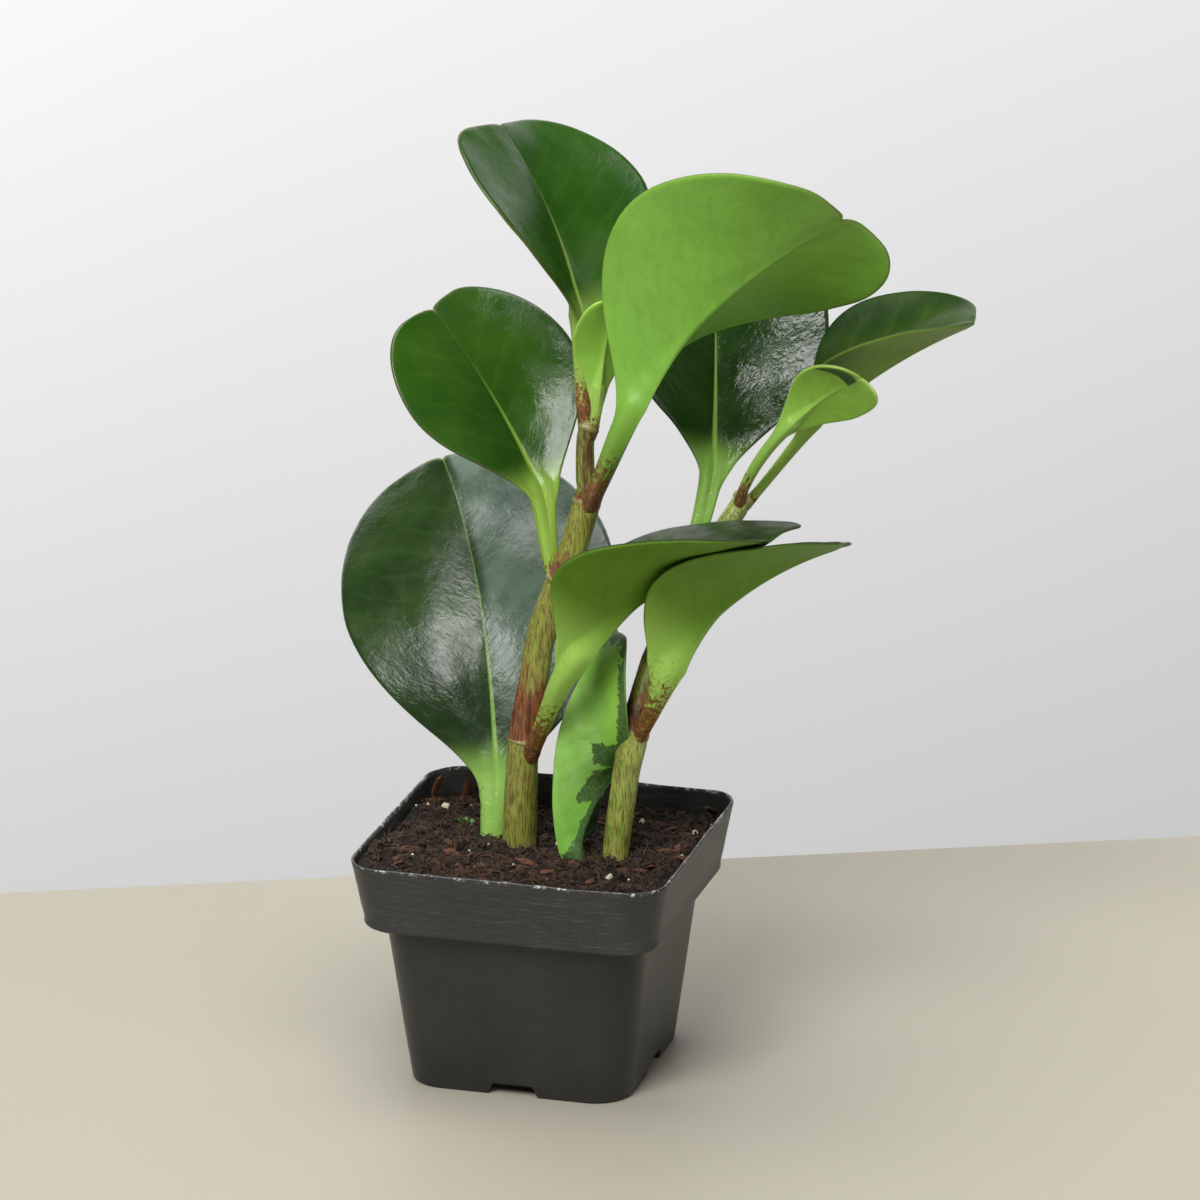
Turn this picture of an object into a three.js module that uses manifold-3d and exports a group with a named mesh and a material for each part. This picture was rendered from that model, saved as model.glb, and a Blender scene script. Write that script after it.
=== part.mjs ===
// A potted peperomia: a thick-leaved house plant in a square nursery pot.
// Units are millimetres and +Z is up. The origin is the middle of the pot's underside.
// The pot's faces look along X and Y.
import * as THREE from 'three';
import { mergeVertices } from 'three/addons/utils/BufferGeometryUtils.js';
import Module from 'manifold-3d';

const wasm = await Module();
wasm.setup();

// ---------- driving dimensions ----------

// The pot: a 4 inch square nursery pot, with a collar round its top.
const POT_WIDTH = 101.6;
const POT_HEIGHT = 76.5;
const COLLAR_HEIGHT = 21.7;
const COLLAR_FOOT_WIDTH = 94.7;
const BODY_TOP_WIDTH = 84.3;
const BASE_WIDTH = 71.6;
const WALL = 1.3;
const FLOOR = 2.4;
const POT_CORNER = 12;
const NOTCH_FOOT_WIDTH = 16.4;
const NOTCH_TOP_WIDTH = 13;
const NOTCH_HEIGHT = 4;
const NOTCH_DEPTH = 12;
const NOTCH_CORNER = 1;
const EDGE_ROUND = 0.8;
const CORNER_STEPS = 5;

// The soil: its level at the pot's middle, its slopes towards the front and back walls, and its drop
// at the walls.
const SOIL_LEVEL = 70;
const SOIL_FRONT_RISE = 0.085;
const SOIL_BACK_FALL = 0.03;
const SOIL_EDGE_DROP = 0.8;
const SOIL_RINGS = 9;

// Lumps in the soil: their height, and how far the broad and the fine ones lie apart.
const LUMP_HEIGHT = 0.7;
const FINE_LUMP_SHARE = 0.6;
const BROAD_LUMP_X = 5.1;
const BROAD_LUMP_Y = 4.3;
const FINE_LUMP_X = 2.9;
const FINE_LUMP_Y = 3.7;

// Bark chips and clods on the soil: each range is [least, most].
const CLOD_COUNT = 34;
const CLOD_SEED = 11;
const CLOD_SIZE = [1.8, 3.6];
const CLOD_LENGTH = [0.7, 1.3];
const CLOD_BREADTH = [0.5, 0.9];
const CLOD_THICKNESS = 0.6;
const CLOD_FROM_WALL = 5.4;

// Clear space between pieces that touch
const GAP = 0.3;

// Stems
const STEM_SIDES = 12;
const STEPS_PER_POINT = 2;

// Leaf blades: their thickness, the cells from midrib to margin, how much closer the rows lie at
// the foot, the half width beside the notch as a share of the full one, the steepest that a half is
// folded up, in degrees, how far it stays from the midrib's plane as a share of its width, and the
// share of the blade in which a half can be the wider one.
const BLADE = 1.2;
const MOST_FOLD = 78;
const LEAST_APART = 0.02;
const LEAN_REACH = 0.35;
const HALF_CELLS = 3;
const ROW_CROWDING = 1.1;
const NOTCH_SIDE = 0.42;

// Leaf stalks: height over width, how late the stalk widens, and how straight it meets the blade.
const STALK_SIDES = 8;
const STALK_STEPS = 8;
const STALK_FLATNESS = 0.95;
const STALK_HEAD_HEIGHT = 0.75;
const STALK_WIDENING = 1.7;
const STALK_LEAD = 0.35;
const STALK_SINK = 0.2;

// Midribs under the blades: the share of the blade that they reach, and what they lose on the way.
const RIB_STEPS = 4;
const RIB_REACH = 0.3;
const RIB_WIDTH_LOSS = 0.75;
const RIB_HEIGHT_LOSS = 0.8;
const RIB_SINK = 0.3;

// The midrib's course is worked out at this many places, this far past the blade's length.
const COURSE_SAMPLES = 36;
const COURSE_REACH = 1.16;

// ---------- the stems ----------
// Each point is [x, y, height above the soil, diameter]. The stem thickens at its leaf nodes.
const LEFT_STEM = [
  [-8.5, -0.5, -30, 9.5],
  [-8, 0, 0, 10.8],
  [-7, 0, 28, 10],
  [-6, 0.5, 36, 11],
  [-6, 0.5, 42, 9.4],
  [-3.5, 1, 55, 9.2],
  [-1.5, 1.5, 68, 9.2],
  [2.5, 2.5, 81, 9.4],
  [5.5, 3.5, 88.5, 9.8],
  [9.5, 4.5, 101, 8.7],
  [12.5, 5.5, 113.5, 8.6],
  [12.8, 5.5, 118, 7],
  [12, 5.5, 122, 6],
  [12, 5.5, 133, 5.7],
  [13.3, 5.5, 138.5, 6.6],
];
const RIGHT_STEM = [
  [23.5, -3, -26, 7.4],
  [24, -2.5, 0, 8],
  [27, -2, 26, 8.4],
  [29.5, 0, 42, 9.6],
  [31, 2.5, 51, 8.2],
  [33.5, 7.5, 63, 7.4],
  [38, 17, 78.5, 7],
  [40, 19.5, 84, 7.6],
  [44.5, 24, 91.5, 6.3],
  [51, 29, 102, 6.3],
  [54, 32, 107, 6.4],
  [55.8, 33.3, 110.5, 6.8],
];

// ---------- the leaves ----------
// base: where the blade meets its stalk, as [x, y, height above the soil].
// heading, rise, roll: the way the midrib sets out, in degrees. Heading 0 is +X and 90 is +Y.
// length, halfWidth: the blade's size.
// recurve, sweep, twist: how far the midrib has bent down, to the left, or turned, at its tip.
// fold: how far each half rises from flat at mid length; foldGain: its change from base to tip;
// foldLeft: what the left half has more than the right.
// cupLeft, cupRight: how far each half curls up on its way to the margin.
// lean: how much wider the right half is at its foot, and how much narrower the left one.
// widest: where along the blade it is widest. notch: how far the two lobes pass the midrib's end.
// shoulder, flare: how full the blade is near its tip and its base.
// root, elbow: the stalk leaves the stem at root and bends at elbow. stalk: its width at each end.
const LEAVES = {
  leaf_lower_left: {
    base: [-19.6, 12.6, 21], heading: 112, rise: 76.5, roll: 1.5, length: 109.5, halfWidth: 45,
    recurve: 51.5, sweep: 9.5, twist: 1.5, fold: 2, foldGain: -32.5, foldLeft: -15, cupLeft: -16, cupRight: 4.5,
    widest: 0.59, notch: 0.045, shoulder: 0.78, flare: 0.35,
    root: [-19, 3.5, -22], elbow: [-18.5, 5, 2], stalk: [7.2, 11], colour: 0x2c5420,
  },
  leaf_middle_left: {
    base: [-5.3, 13, 114.7], heading: 150.5, rise: 54.5, roll: -15, length: 64.5, halfWidth: 32.5,
    recurve: 0.5, sweep: 14.5, twist: 28, fold: 11.2, foldGain: -27, foldLeft: -3, cupLeft: -19.5, cupRight: 35.5,
    widest: 0.605, notch: 0.03, shoulder: 0.73, flare: 0.23,
    root: [5, 3.5, 82], elbow: [-1, 6, 90], stalk: [4.6, 8.5], colour: 0x356628,
  },
  leaf_top_left: {
    base: [7.5, 14.5, 171], heading: 148, rise: 72.5, roll: 10, length: 64, halfWidth: 38,
    recurve: 27, sweep: 2, twist: 12, fold: 14, foldGain: -36, foldLeft: 0, cupLeft: -1, cupRight: 21,
    widest: 0.57, notch: 0.02, shoulder: 0.79, flare: 0.29,
    root: [13, 6, 134], elbow: [9.5, 8, 142], stalk: [4.2, 7], colour: 0x2f6a1c,
  },
  leaf_top_right: {
    base: [32.5, -9.5, 151], heading: 6, rise: 59, roll: -37, length: 89.5, halfWidth: 45,
    recurve: 26, sweep: 14, twist: 2, fold: 27, foldGain: -56, foldLeft: -2.5, cupLeft: -43, cupRight: 30,
    widest: 0.62, notch: 0.04, shoulder: 0.73, flare: 0.23,
    root: [13, 4.5, 111.5], elbow: [17.5, 1, 120], stalk: [5.4, 8.5], colour: 0x6fa83c,
  },
  leaf_young: {
    base: [17, 3.5, 151.5], heading: -47, rise: 75.5, roll: -13, length: 34, halfWidth: 10.5,
    recurve: 20, sweep: -2, twist: 6, fold: 12, foldGain: -22, foldLeft: 1, cupLeft: 0, cupRight: -5,
    widest: 0.57, notch: 0.03, shoulder: 0.8, flare: 0.27,
    root: [13.5, 5.5, 134], elbow: [16, 5, 141.5], stalk: [3.2, 3.8], colour: 0x96be46,
  },
  leaf_back: {
    base: [44.7, 35.5, 120], heading: 100.5, rise: 61, roll: 26, length: 79, halfWidth: 36,
    recurve: 8.5, sweep: 2, twist: 0.5, fold: 11.5, foldGain: -12, foldLeft: 6.5, cupLeft: -22.5, cupRight: 26,
    widest: 0.55, notch: 0.04, shoulder: 0.8, flare: 0.25,
    root: [38.5, 18, 79.5], elbow: [39.5, 22.5, 87.5], stalk: [4.8, 7.5], colour: 0x1e4414,
  },
  leaf_right: {
    base: [76.5, 38, 134.5], heading: 10.5, rise: 45, roll: -3, length: 59, halfWidth: 32,
    recurve: 22, sweep: 4, twist: -5, fold: 28, foldGain: -37, foldLeft: -1, cupLeft: 20, cupRight: -3,
    widest: 0.55, notch: 0.03, shoulder: 0.79, flare: 0.29,
    root: [55, 33.5, 106.5], elbow: [60, 35, 112], stalk: [3.2, 4.5], colour: 0x3c6a2c,
  },
  leaf_curled: {
    base: [73.5, 23, 139], heading: -7, rise: 44, roll: -67, length: 35, halfWidth: 12,
    recurve: 36, sweep: -1, twist: 3, fold: 3.5, foldGain: -22, foldLeft: 0, cupLeft: -11, cupRight: -11,
    widest: 0.58, notch: 0.03, shoulder: 0.8, flare: 0.26,
    root: [54.5, 31, 107.5], elbow: [56, 28, 117], stalk: [3.2, 4.2], colour: 0x78b040,
  },
  leaf_middle: {
    base: [18.5, -23, 74], heading: 9, rise: 47, roll: -7, length: 71.5, halfWidth: 42.5,
    recurve: 27, sweep: -9, twist: -5, fold: 30.5, foldGain: -39, foldLeft: 5, cupLeft: -41, cupRight: 2,
    widest: 0.5, notch: 0.05, shoulder: 0.8, flare: 0.35,
    root: [-5, -0.5, 29.5], elbow: [2, -7.5, 42.5], stalk: [5.4, 9], colour: 0x55732d,
  },
  leaf_lower_right: {
    base: [45, -12.5, 69], heading: 24, rise: 54.5, roll: -19, length: 64.5, halfWidth: 38,
    recurve: 38, sweep: 2, twist: -4, fold: 34, foldGain: -48, foldLeft: -2, cupLeft: -28, cupRight: -16,
    widest: 0.49, notch: 0.04, shoulder: 0.8, flare: 0.31,
    root: [29, 0, 37.5], elbow: [35, -3.5, 47], stalk: [5.4, 9], colour: 0x55732d,
  },
  leaf_lower_middle: {
    base: [11, -8, 3.5], heading: 201, rise: 68, roll: 21, length: 75, halfWidth: 22,
    recurve: -70.5, sweep: 10, twist: -13.5,
    fold: 58, foldGain: -111, foldLeft: -4, cupLeft: 37, cupRight: -27,
    widest: 0.4, notch: 0.01, shoulder: 0.8, flare: 0.26, lean: 0.45,
    root: [14, -6, -22], elbow: [13.5, -6.5, -3], stalk: [6.6, 7.4], colour: 0x64a03c,
  },
};

const { clamp, degToRad, lerp, mapLinear, seededRandom } = THREE.MathUtils;
const vector = (xyz) => new THREE.Vector3(...xyz);

// ---------- solids ----------

// A closed mesh as a solid: shared vertices are merged and flat triangles dropped.
function toSolid(geometry) {
  geometry.deleteAttribute('normal');
  geometry.deleteAttribute('uv');
  const merged = mergeVertices(geometry, 1e-4);
  const index = merged.index.array;
  const kept = [];
  for (let i = 0; i < index.length; i += 3) {
    const [a, b, c] = [index[i], index[i + 1], index[i + 2]];
    if (a !== b && b !== c && c !== a) kept.push(a, b, c);
  }
  const solid = new wasm.Manifold(new wasm.Mesh({
    numProp: 3,
    vertProperties: new Float32Array(merged.attributes.position.array),
    triVerts: new Uint32Array(kept),
  }));
  if (solid.volume() > 0) return solid;
  for (let i = 0; i < kept.length; i += 3) [kept[i], kept[i + 1]] = [kept[i + 1], kept[i]];
  return new wasm.Manifold(new wasm.Mesh({
    numProp: 3,
    vertProperties: new Float32Array(merged.attributes.position.array),
    triVerts: new Uint32Array(kept),
  }));
}

function toMesh(solid, name, colour, roughness) {
  const { vertProperties, triVerts } = solid.getMesh();
  const geometry = new THREE.BufferGeometry();
  geometry.setAttribute('position', new THREE.BufferAttribute(new Float32Array(vertProperties), 3));
  geometry.setIndex(new THREE.BufferAttribute(new Uint32Array(triVerts), 1));
  geometry.computeVertexNormals();
  const material = new THREE.MeshStandardMaterial({ color: colour, roughness, metalness: 0 });
  const mesh = new THREE.Mesh(geometry, material);
  mesh.name = name;
  return mesh;
}

// A skin over a row of rings with equal numbers of points, closed by a fan at each end.
function loft(rings) {
  const sides = rings[0].length;
  const points = rings.flat();
  const index = [];
  for (let r = 0; r + 1 < rings.length; r++) {
    for (let s = 0; s < sides; s++) {
      const a = r * sides + s;
      const b = r * sides + (s + 1) % sides;
      index.push(a, b, b + sides, a, b + sides, a + sides);
    }
  }
  const last = (rings.length - 1) * sides;
  const ends = [rings[0], rings[rings.length - 1]];
  for (const [end, ring] of ends.entries()) {
    const middle = new THREE.Vector3();
    for (const point of ring) middle.addScaledVector(point, 1 / sides);
    points.push(middle);
    for (let s = 0; s < sides; s++) {
      const a = (end ? last : 0) + s;
      const b = (end ? last : 0) + (s + 1) % sides;
      index.push(points.length - 1, end ? a : b, end ? b : a);
    }
  }
  const geometry = new THREE.BufferGeometry().setFromPoints(points);
  geometry.setIndex(index);
  return toSolid(geometry);
}

// A square ring with rounded corners, at one height.
function squareRing(width, corner, z) {
  const half = width / 2;
  const shape = new THREE.Path();
  const inset = half - corner;
  shape.absarc(inset, inset, corner, 0, Math.PI / 2);
  const arc = shape.getSpacedPoints(CORNER_STEPS);
  const ring = [];
  for (let quarter = 0; quarter < 4; quarter++) {
    for (const point of arc) {
      const turned = point.clone().rotateAround(new THREE.Vector2(), quarter * Math.PI / 2);
      ring.push(new THREE.Vector3(turned.x, turned.y, z));
    }
  }
  return ring;
}

// A rod of oval section along stations of { centre, side, up, width, height }. With grow it is
// that much larger all over, ends too, which leaves room for the rod itself.
function rod(stations, sides, grow = 0) {
  const last = stations.length - 1;
  return loft(stations.map(({ centre, side, up, width, height }, place) => {
    const ring = [];
    const past = place === 0 ? -grow : place === last ? grow : 0;
    const along = side.clone().cross(up);
    for (let s = 0; s < sides; s++) {
      const angle = 2 * Math.PI * s / sides;
      const point = centre.clone().addScaledVector(along, past);
      point.addScaledVector(side, Math.cos(angle) * (width / 2 + grow));
      point.addScaledVector(up, Math.sin(angle) * (height / 2 + grow));
      ring.push(point);
    }
    return ring;
  }));
}

// ---------- pot and soil ----------

const COLLAR_FOOT = POT_HEIGHT - COLLAR_HEIGHT;

// The width between the walls' inner faces at a height
function innerWidth(z) {
  const inCollar = z >= COLLAR_FOOT + WALL;
  const outerWidth = inCollar
    ? mapLinear(z, COLLAR_FOOT, POT_HEIGHT, COLLAR_FOOT_WIDTH, POT_WIDTH)
    : mapLinear(z, 0, COLLAR_FOOT, BASE_WIDTH, BODY_TOP_WIDTH);
  return outerWidth - 2 * WALL;
}

function makePot() {
  const inner = POT_CORNER - WALL;
  const lip = EDGE_ROUND / 2;
  const body = loft([
    squareRing(BASE_WIDTH - 2 * EDGE_ROUND, POT_CORNER - EDGE_ROUND, 0),
    squareRing(BASE_WIDTH, POT_CORNER, EDGE_ROUND),
    squareRing(BODY_TOP_WIDTH, POT_CORNER, COLLAR_FOOT),
    squareRing(COLLAR_FOOT_WIDTH, POT_CORNER, COLLAR_FOOT),
    squareRing(POT_WIDTH, POT_CORNER, POT_HEIGHT - lip),
    squareRing(POT_WIDTH - 2 * lip, POT_CORNER - lip, POT_HEIGHT),
    squareRing(POT_WIDTH - 2 * WALL, inner, POT_HEIGHT),
    squareRing(innerWidth(COLLAR_FOOT + WALL), inner, COLLAR_FOOT + WALL),
    squareRing(innerWidth(COLLAR_FOOT), inner, COLLAR_FOOT + WALL),
    squareRing(innerWidth(FLOOR), inner, FLOOR),
  ]);
  // A drain notch in the middle of each base edge, cut from a little outside the pot
  const past = 2;
  const foot = NOTCH_FOOT_WIDTH / 2;
  const top = NOTCH_TOP_WIDTH / 2;
  const arch = new THREE.Shape();
  arch.moveTo(-foot, -past);
  arch.lineTo(foot, -past);
  arch.lineTo(foot, 0);
  arch.lineTo(top, NOTCH_HEIGHT - NOTCH_CORNER);
  arch.lineTo(top - NOTCH_CORNER, NOTCH_HEIGHT);
  arch.lineTo(NOTCH_CORNER - top, NOTCH_HEIGHT);
  arch.lineTo(-top, NOTCH_HEIGHT - NOTCH_CORNER);
  arch.lineTo(-foot, 0);
  let pot = body;
  for (let side = 0; side < 4; side++) {
    const cutter = new THREE.ExtrudeGeometry(arch, { depth: NOTCH_DEPTH + past, bevelEnabled: false });
    cutter.rotateX(Math.PI / 2);
    cutter.translate(0, -BASE_WIDTH / 2 + NOTCH_DEPTH, 0);
    cutter.rotateZ(side * Math.PI / 2);
    pot = pot.subtract(toSolid(cutter));
  }
  return pot;
}

// The soil's height at a place: higher towards the front, with a few lumps.
function soilHeight(x, y) {
  const broad = Math.sin(x / BROAD_LUMP_X + 1) * Math.cos(y / BROAD_LUMP_Y);
  const fine = Math.sin(x / FINE_LUMP_X - y / FINE_LUMP_Y);
  const slope = y < 0 ? -SOIL_FRONT_RISE * y : -SOIL_BACK_FALL * y;
  return SOIL_LEVEL + slope + LUMP_HEIGHT * (broad + FINE_LUMP_SHARE * fine);
}

function makeSoil(cutters) {
  const corner = POT_CORNER - WALL - GAP;
  const ledge = COLLAR_FOOT + WALL + GAP;
  const topWidth = innerWidth(SOIL_LEVEL) - 2 * GAP;
  const wallRing = (z) => squareRing(innerWidth(z) - 2 * GAP, corner, z);
  const edge = wallRing(SOIL_LEVEL).map((point, place) => {
    return wallRing(soilHeight(point.x, point.y) - SOIL_EDGE_DROP)[place];
  });
  const rings = [
    squareRing(innerWidth(FLOOR + GAP) - 2 * GAP, corner, FLOOR + GAP),
    squareRing(innerWidth(COLLAR_FOOT) - 2 * GAP, corner, ledge),
    wallRing(ledge),
    edge,
  ];
  for (let step = 1; step < SOIL_RINGS; step++) {
    const share = 1 - step / SOIL_RINGS;
    const ring = squareRing(topWidth * share, corner * share, 0);
    for (const point of ring) point.z = soilHeight(point.x, point.y);
    rings.push(ring);
  }
  let soil = loft(rings);
  // Bark chips and clods half sunk in the top
  seededRandom(CLOD_SEED);
  const draw = ([least, most]) => lerp(least, most, seededRandom());
  const reach = topWidth / 2 - CLOD_FROM_WALL;
  for (let clod = 0; clod < CLOD_COUNT; clod++) {
    const chip = new THREE.IcosahedronGeometry(draw(CLOD_SIZE), 0);
    chip.scale(draw(CLOD_LENGTH), draw(CLOD_BREADTH), CLOD_THICKNESS);
    chip.rotateZ(draw([0, Math.PI]));
    const x = draw([-reach, reach]);
    const y = draw([-reach, reach]);
    chip.translate(x, y, soilHeight(x, y));
    soil = soil.add(toSolid(chip));
  }
  for (const cutter of cutters) soil = soil.subtract(cutter.translate([0, 0, SOIL_LEVEL]));
  return soil;
}

// ---------- stems ----------

function stemStations(points) {
  const curve = new THREE.CatmullRomCurve3(points.map((point) => vector(point.slice(0, 3))));
  const steps = STEPS_PER_POINT * (points.length - 1);
  const stations = [];
  for (let step = 0; step <= steps; step++) {
    const t = step / steps;
    const place = t * (points.length - 1);
    const below = Math.min(Math.floor(place), points.length - 2);
    const width = lerp(points[below][3], points[below + 1][3], place - below);
    const along = curve.getTangent(t);
    const side = new THREE.Vector3(1, 0, 0).addScaledVector(along, -along.x).normalize();
    const up = along.clone().cross(side);
    stations.push({ centre: curve.getPoint(t), side, up, width, height: width });
  }
  return stations;
}

// ---------- leaves ----------

// The midrib, sampled along its length: its centre, and the blade's side and up directions there.
function makeRib(leaf) {
  const heading = degToRad(leaf.heading);
  const rise = degToRad(leaf.rise);
  const level = new THREE.Vector3(Math.cos(heading), Math.sin(heading), 0);
  const start = level.clone().multiplyScalar(Math.cos(rise)).add(new THREE.Vector3(0, 0, Math.sin(rise)));
  const side = new THREE.Vector3(-level.y, level.x, 0).applyAxisAngle(start, degToRad(leaf.roll));
  const up = start.clone().cross(side);
  const rib = [];
  const centre = vector(leaf.base);
  let before = null;
  for (let sample = 0; sample <= COURSE_SAMPLES; sample++) {
    const u = COURSE_REACH * sample / COURSE_SAMPLES;
    const bend = degToRad(leaf.recurve) * u;
    const sweep = degToRad(leaf.sweep) * u;
    const along = start.clone().multiplyScalar(Math.cos(sweep) * Math.cos(bend));
    along.addScaledVector(up, -Math.cos(sweep) * Math.sin(bend));
    along.addScaledVector(side, Math.sin(sweep));
    const lift = start.clone().multiplyScalar(Math.sin(bend)).addScaledVector(up, Math.cos(bend));
    const across = lift.clone().cross(along).normalize();
    const normal = along.clone().cross(across);
    across.applyAxisAngle(along, degToRad(leaf.twist) * u);
    normal.applyAxisAngle(along, degToRad(leaf.twist) * u);
    if (before) {
      const step = leaf.length * COURSE_REACH / COURSE_SAMPLES;
      centre.addScaledVector(along.clone().add(before), step / 2);
    }
    before = along;
    rib.push({ centre: centre.clone(), along, side: across, up: normal });
  }
  return (u) => {
    const place = clamp(u / COURSE_REACH, 0, 1) * COURSE_SAMPLES;
    const below = Math.min(Math.floor(place), COURSE_SAMPLES - 1);
    const mix = (name) => rib[below][name].clone().lerp(rib[below + 1][name], place - below);
    return { centre: mix('centre'), along: mix('along'), side: mix('side'), up: mix('up') };
  };
}

// A point of the blade, x along the midrib and y across it (left is positive), both in mm.
function bladePoint(leaf, rib, x, y, level) {
  const { centre, side, up } = rib(x / leaf.length);
  const left = y >= 0;
  const lean = (leaf.lean ?? 0) * Math.max(0, 1 - x / leaf.length / LEAN_REACH);
  const reach = Math.abs(y) * (left ? 1 - lean : 1 + lean);
  const gain = leaf.foldGain * (x / leaf.length - 0.5);
  const fold = degToRad(Math.min(leaf.fold + gain + (left ? leaf.foldLeft : 0), MOST_FOLD));
  const curl = degToRad(left ? leaf.cupLeft : leaf.cupRight) / leaf.halfWidth || 1e-6;
  const outward = (Math.sin(fold + curl * reach) - Math.sin(fold)) / curl;
  const rising = (Math.cos(fold) - Math.cos(fold + curl * reach)) / curl;
  const tilt = reach > 0 ? fold + curl * reach : 0;
  const away = left ? 1 : -1;
  const apart = Math.max(outward - level * Math.sin(tilt), LEAST_APART * reach);
  const point = centre.addScaledVector(side, away * apart);
  return point.addScaledVector(up, rising + level * Math.cos(tilt));
}

// The blade's outline from base to notch, as rows of [x, half width] in mm.
function outlineRows(leaf) {
  const foot = leaf.stalk[1] / 2 / leaf.halfWidth;
  const tip = 1 + leaf.notch;
  // Each curve is its number of steps and four handles, as shares of the length and half width.
  const curves = [
    [5, [0, foot], [0.1, foot + leaf.flare], [leaf.widest - 0.3, 1], [leaf.widest, 1]],
    [5, [leaf.widest, 1], [leaf.widest + 0.26, 1], [tip, leaf.shoulder], [tip, NOTCH_SIDE]],
    [3, [tip, NOTCH_SIDE], [tip, NOTCH_SIDE / 2], [1 + 0.7 * leaf.notch, 0.04], [1, 0]],
  ];
  const rows = [[0, foot * leaf.halfWidth]];
  for (const [steps, ...handles] of curves) {
    const curve = new THREE.CubicBezierCurve(...handles.map((handle) => new THREE.Vector2(...handle)));
    for (let step = 1; step <= steps; step++) {
      const point = curve.getPoint(step / steps);
      rows.push([point.x * leaf.length, point.y * leaf.halfWidth]);
    }
  }
  return rows;
}

// The blade as a thin solid, with both faces split into the same triangles.
function makeBlade(leaf, rib) {
  const rows = outlineRows(leaf);
  const columns = 2 * HALF_CELLS + 1;
  const faces = [[], []];
  for (const [face, level] of [BLADE / 2, -BLADE / 2].entries()) {
    for (const [row, [edgeX, edgeY]] of rows.entries()) {
      const ribX = leaf.length * (row / (rows.length - 1)) ** ROW_CROWDING;
      for (let column = -HALF_CELLS; column <= HALF_CELLS; column++) {
        const share = Math.abs(column) / HALF_CELLS;
        const x = lerp(ribX, edgeX, share);
        faces[face].push(bladePoint(leaf, rib, x, edgeY * column / HALF_CELLS, level));
      }
    }
  }
  const below = faces[0].length;
  const index = [];
  const quad = (a, b, c, d) => index.push(a, b, c, a, c, d);
  const onBothFaces = (a, b, c) => index.push(a, b, c, a + below, c + below, b + below);
  for (let row = 0; row + 1 < rows.length; row++) {
    const here = row * columns;
    const next = here + columns;
    for (let column = 0; column + 1 < columns; column++) {
      const [a, b, c, d] = [here + column, here + column + 1, next + column + 1, next + column];
      // The split runs outward from the midrib on either half.
      const leftHalf = column >= HALF_CELLS;
      onBothFaces(a, b, leftHalf ? d : c);
      onBothFaces(leftHalf ? b : a, c, d);
    }
    const hereEnd = next - 1;
    const nextEnd = hereEnd + columns;
    quad(here, next, next + below, here + below);
    quad(nextEnd, hereEnd, hereEnd + below, nextEnd + below);
  }
  for (let column = 0; column + 1 < columns; column++) {
    quad(column + 1, column, column + below, column + 1 + below);
  }
  const geometry = new THREE.BufferGeometry().setFromPoints(faces.flat());
  geometry.setIndex(index);
  return toSolid(geometry);
}

// The stalk, which runs on under the blade as a tapering midrib.
function stalkStations(leaf, rib) {
  const start = rib(0);
  const [foot, head] = leaf.stalk;
  const headHeight = STALK_HEAD_HEIGHT * head;
  const root = vector(leaf.root);
  const elbow = vector(leaf.elbow);
  const end = start.centre.clone().addScaledVector(start.up, -STALK_SINK * head);
  const lead = end.clone().addScaledVector(start.along, -STALK_LEAD * elbow.distanceTo(end));
  const curve = new THREE.CubicBezierCurve3(root, elbow, lead, end);
  const stations = [];
  for (let step = 0; step <= STALK_STEPS; step++) {
    const t = step / STALK_STEPS;
    const along = curve.getTangent(t);
    const side = start.side.clone().addScaledVector(along, -start.side.dot(along)).normalize();
    const width = lerp(foot, head, t ** STALK_WIDENING);
    const height = STALK_FLATNESS * lerp(foot, headHeight, t);
    stations.push({ centre: curve.getPoint(t), side, up: along.clone().cross(side), width, height });
  }
  for (let step = 1; step <= RIB_STEPS; step++) {
    const t = step / RIB_STEPS;
    const { centre, side, up } = rib(RIB_REACH * t);
    const width = head * (1 - RIB_WIDTH_LOSS * t);
    const height = STALK_FLATNESS * headHeight * (1 - RIB_HEIGHT_LOSS * t);
    centre.addScaledVector(up, -RIB_SINK * height);
    stations.push({ centre, side, up, width, height });
  }
  return stations;
}

// ---------- the whole plant ----------

const leftStations = stemStations(LEFT_STEM);
const rightStations = stemStations(RIGHT_STEM);
const leftStem = rod(leftStations, STEM_SIDES);
const rightStem = rod(rightStations, STEM_SIDES);
const stemRoom = rod(leftStations, STEM_SIDES, GAP).add(rod(rightStations, STEM_SIDES, GAP));

const group = new THREE.Group();
const plant = new THREE.Group();
plant.position.z = SOIL_LEVEL;
group.add(plant);

const soilRooms = [stemRoom];
for (const [name, leaf] of Object.entries(LEAVES)) {
  const rib = makeRib(leaf);
  const stalk = stalkStations(leaf, rib);
  const solid = makeBlade(leaf, rib).add(rod(stalk, STALK_SIDES)).subtract(stemRoom);
  const whole = solid.decompose().sort((a, b) => b.volume() - a.volume())[0];
  plant.add(toMesh(whole, name, leaf.colour, 0.4));
  if (leaf.root[2] < 0) soilRooms.push(rod(stalk, STALK_SIDES, GAP));
}
plant.add(toMesh(leftStem, 'stem_left', 0x82823a, 0.5));
plant.add(toMesh(rightStem, 'stem_right', 0x7f8a3c, 0.5));
group.add(toMesh(makePot(), 'pot', 0x383736, 0.55));
group.add(toMesh(makeSoil(soilRooms), 'soil', 0x32261e, 0.95));

export default group;
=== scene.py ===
# A potted peperomia: a thick-leaved house plant in a square black nursery pot.
# Leaf, stem and pot sizes are in millimetres, as in the solids, and are turned into metres where a
# mesh gets its place. +Z is up, and the pot's front looks along -Y.
import math
import random

import bmesh
import bpy
from mathutils import Matrix, Quaternion, Vector, noise


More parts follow.
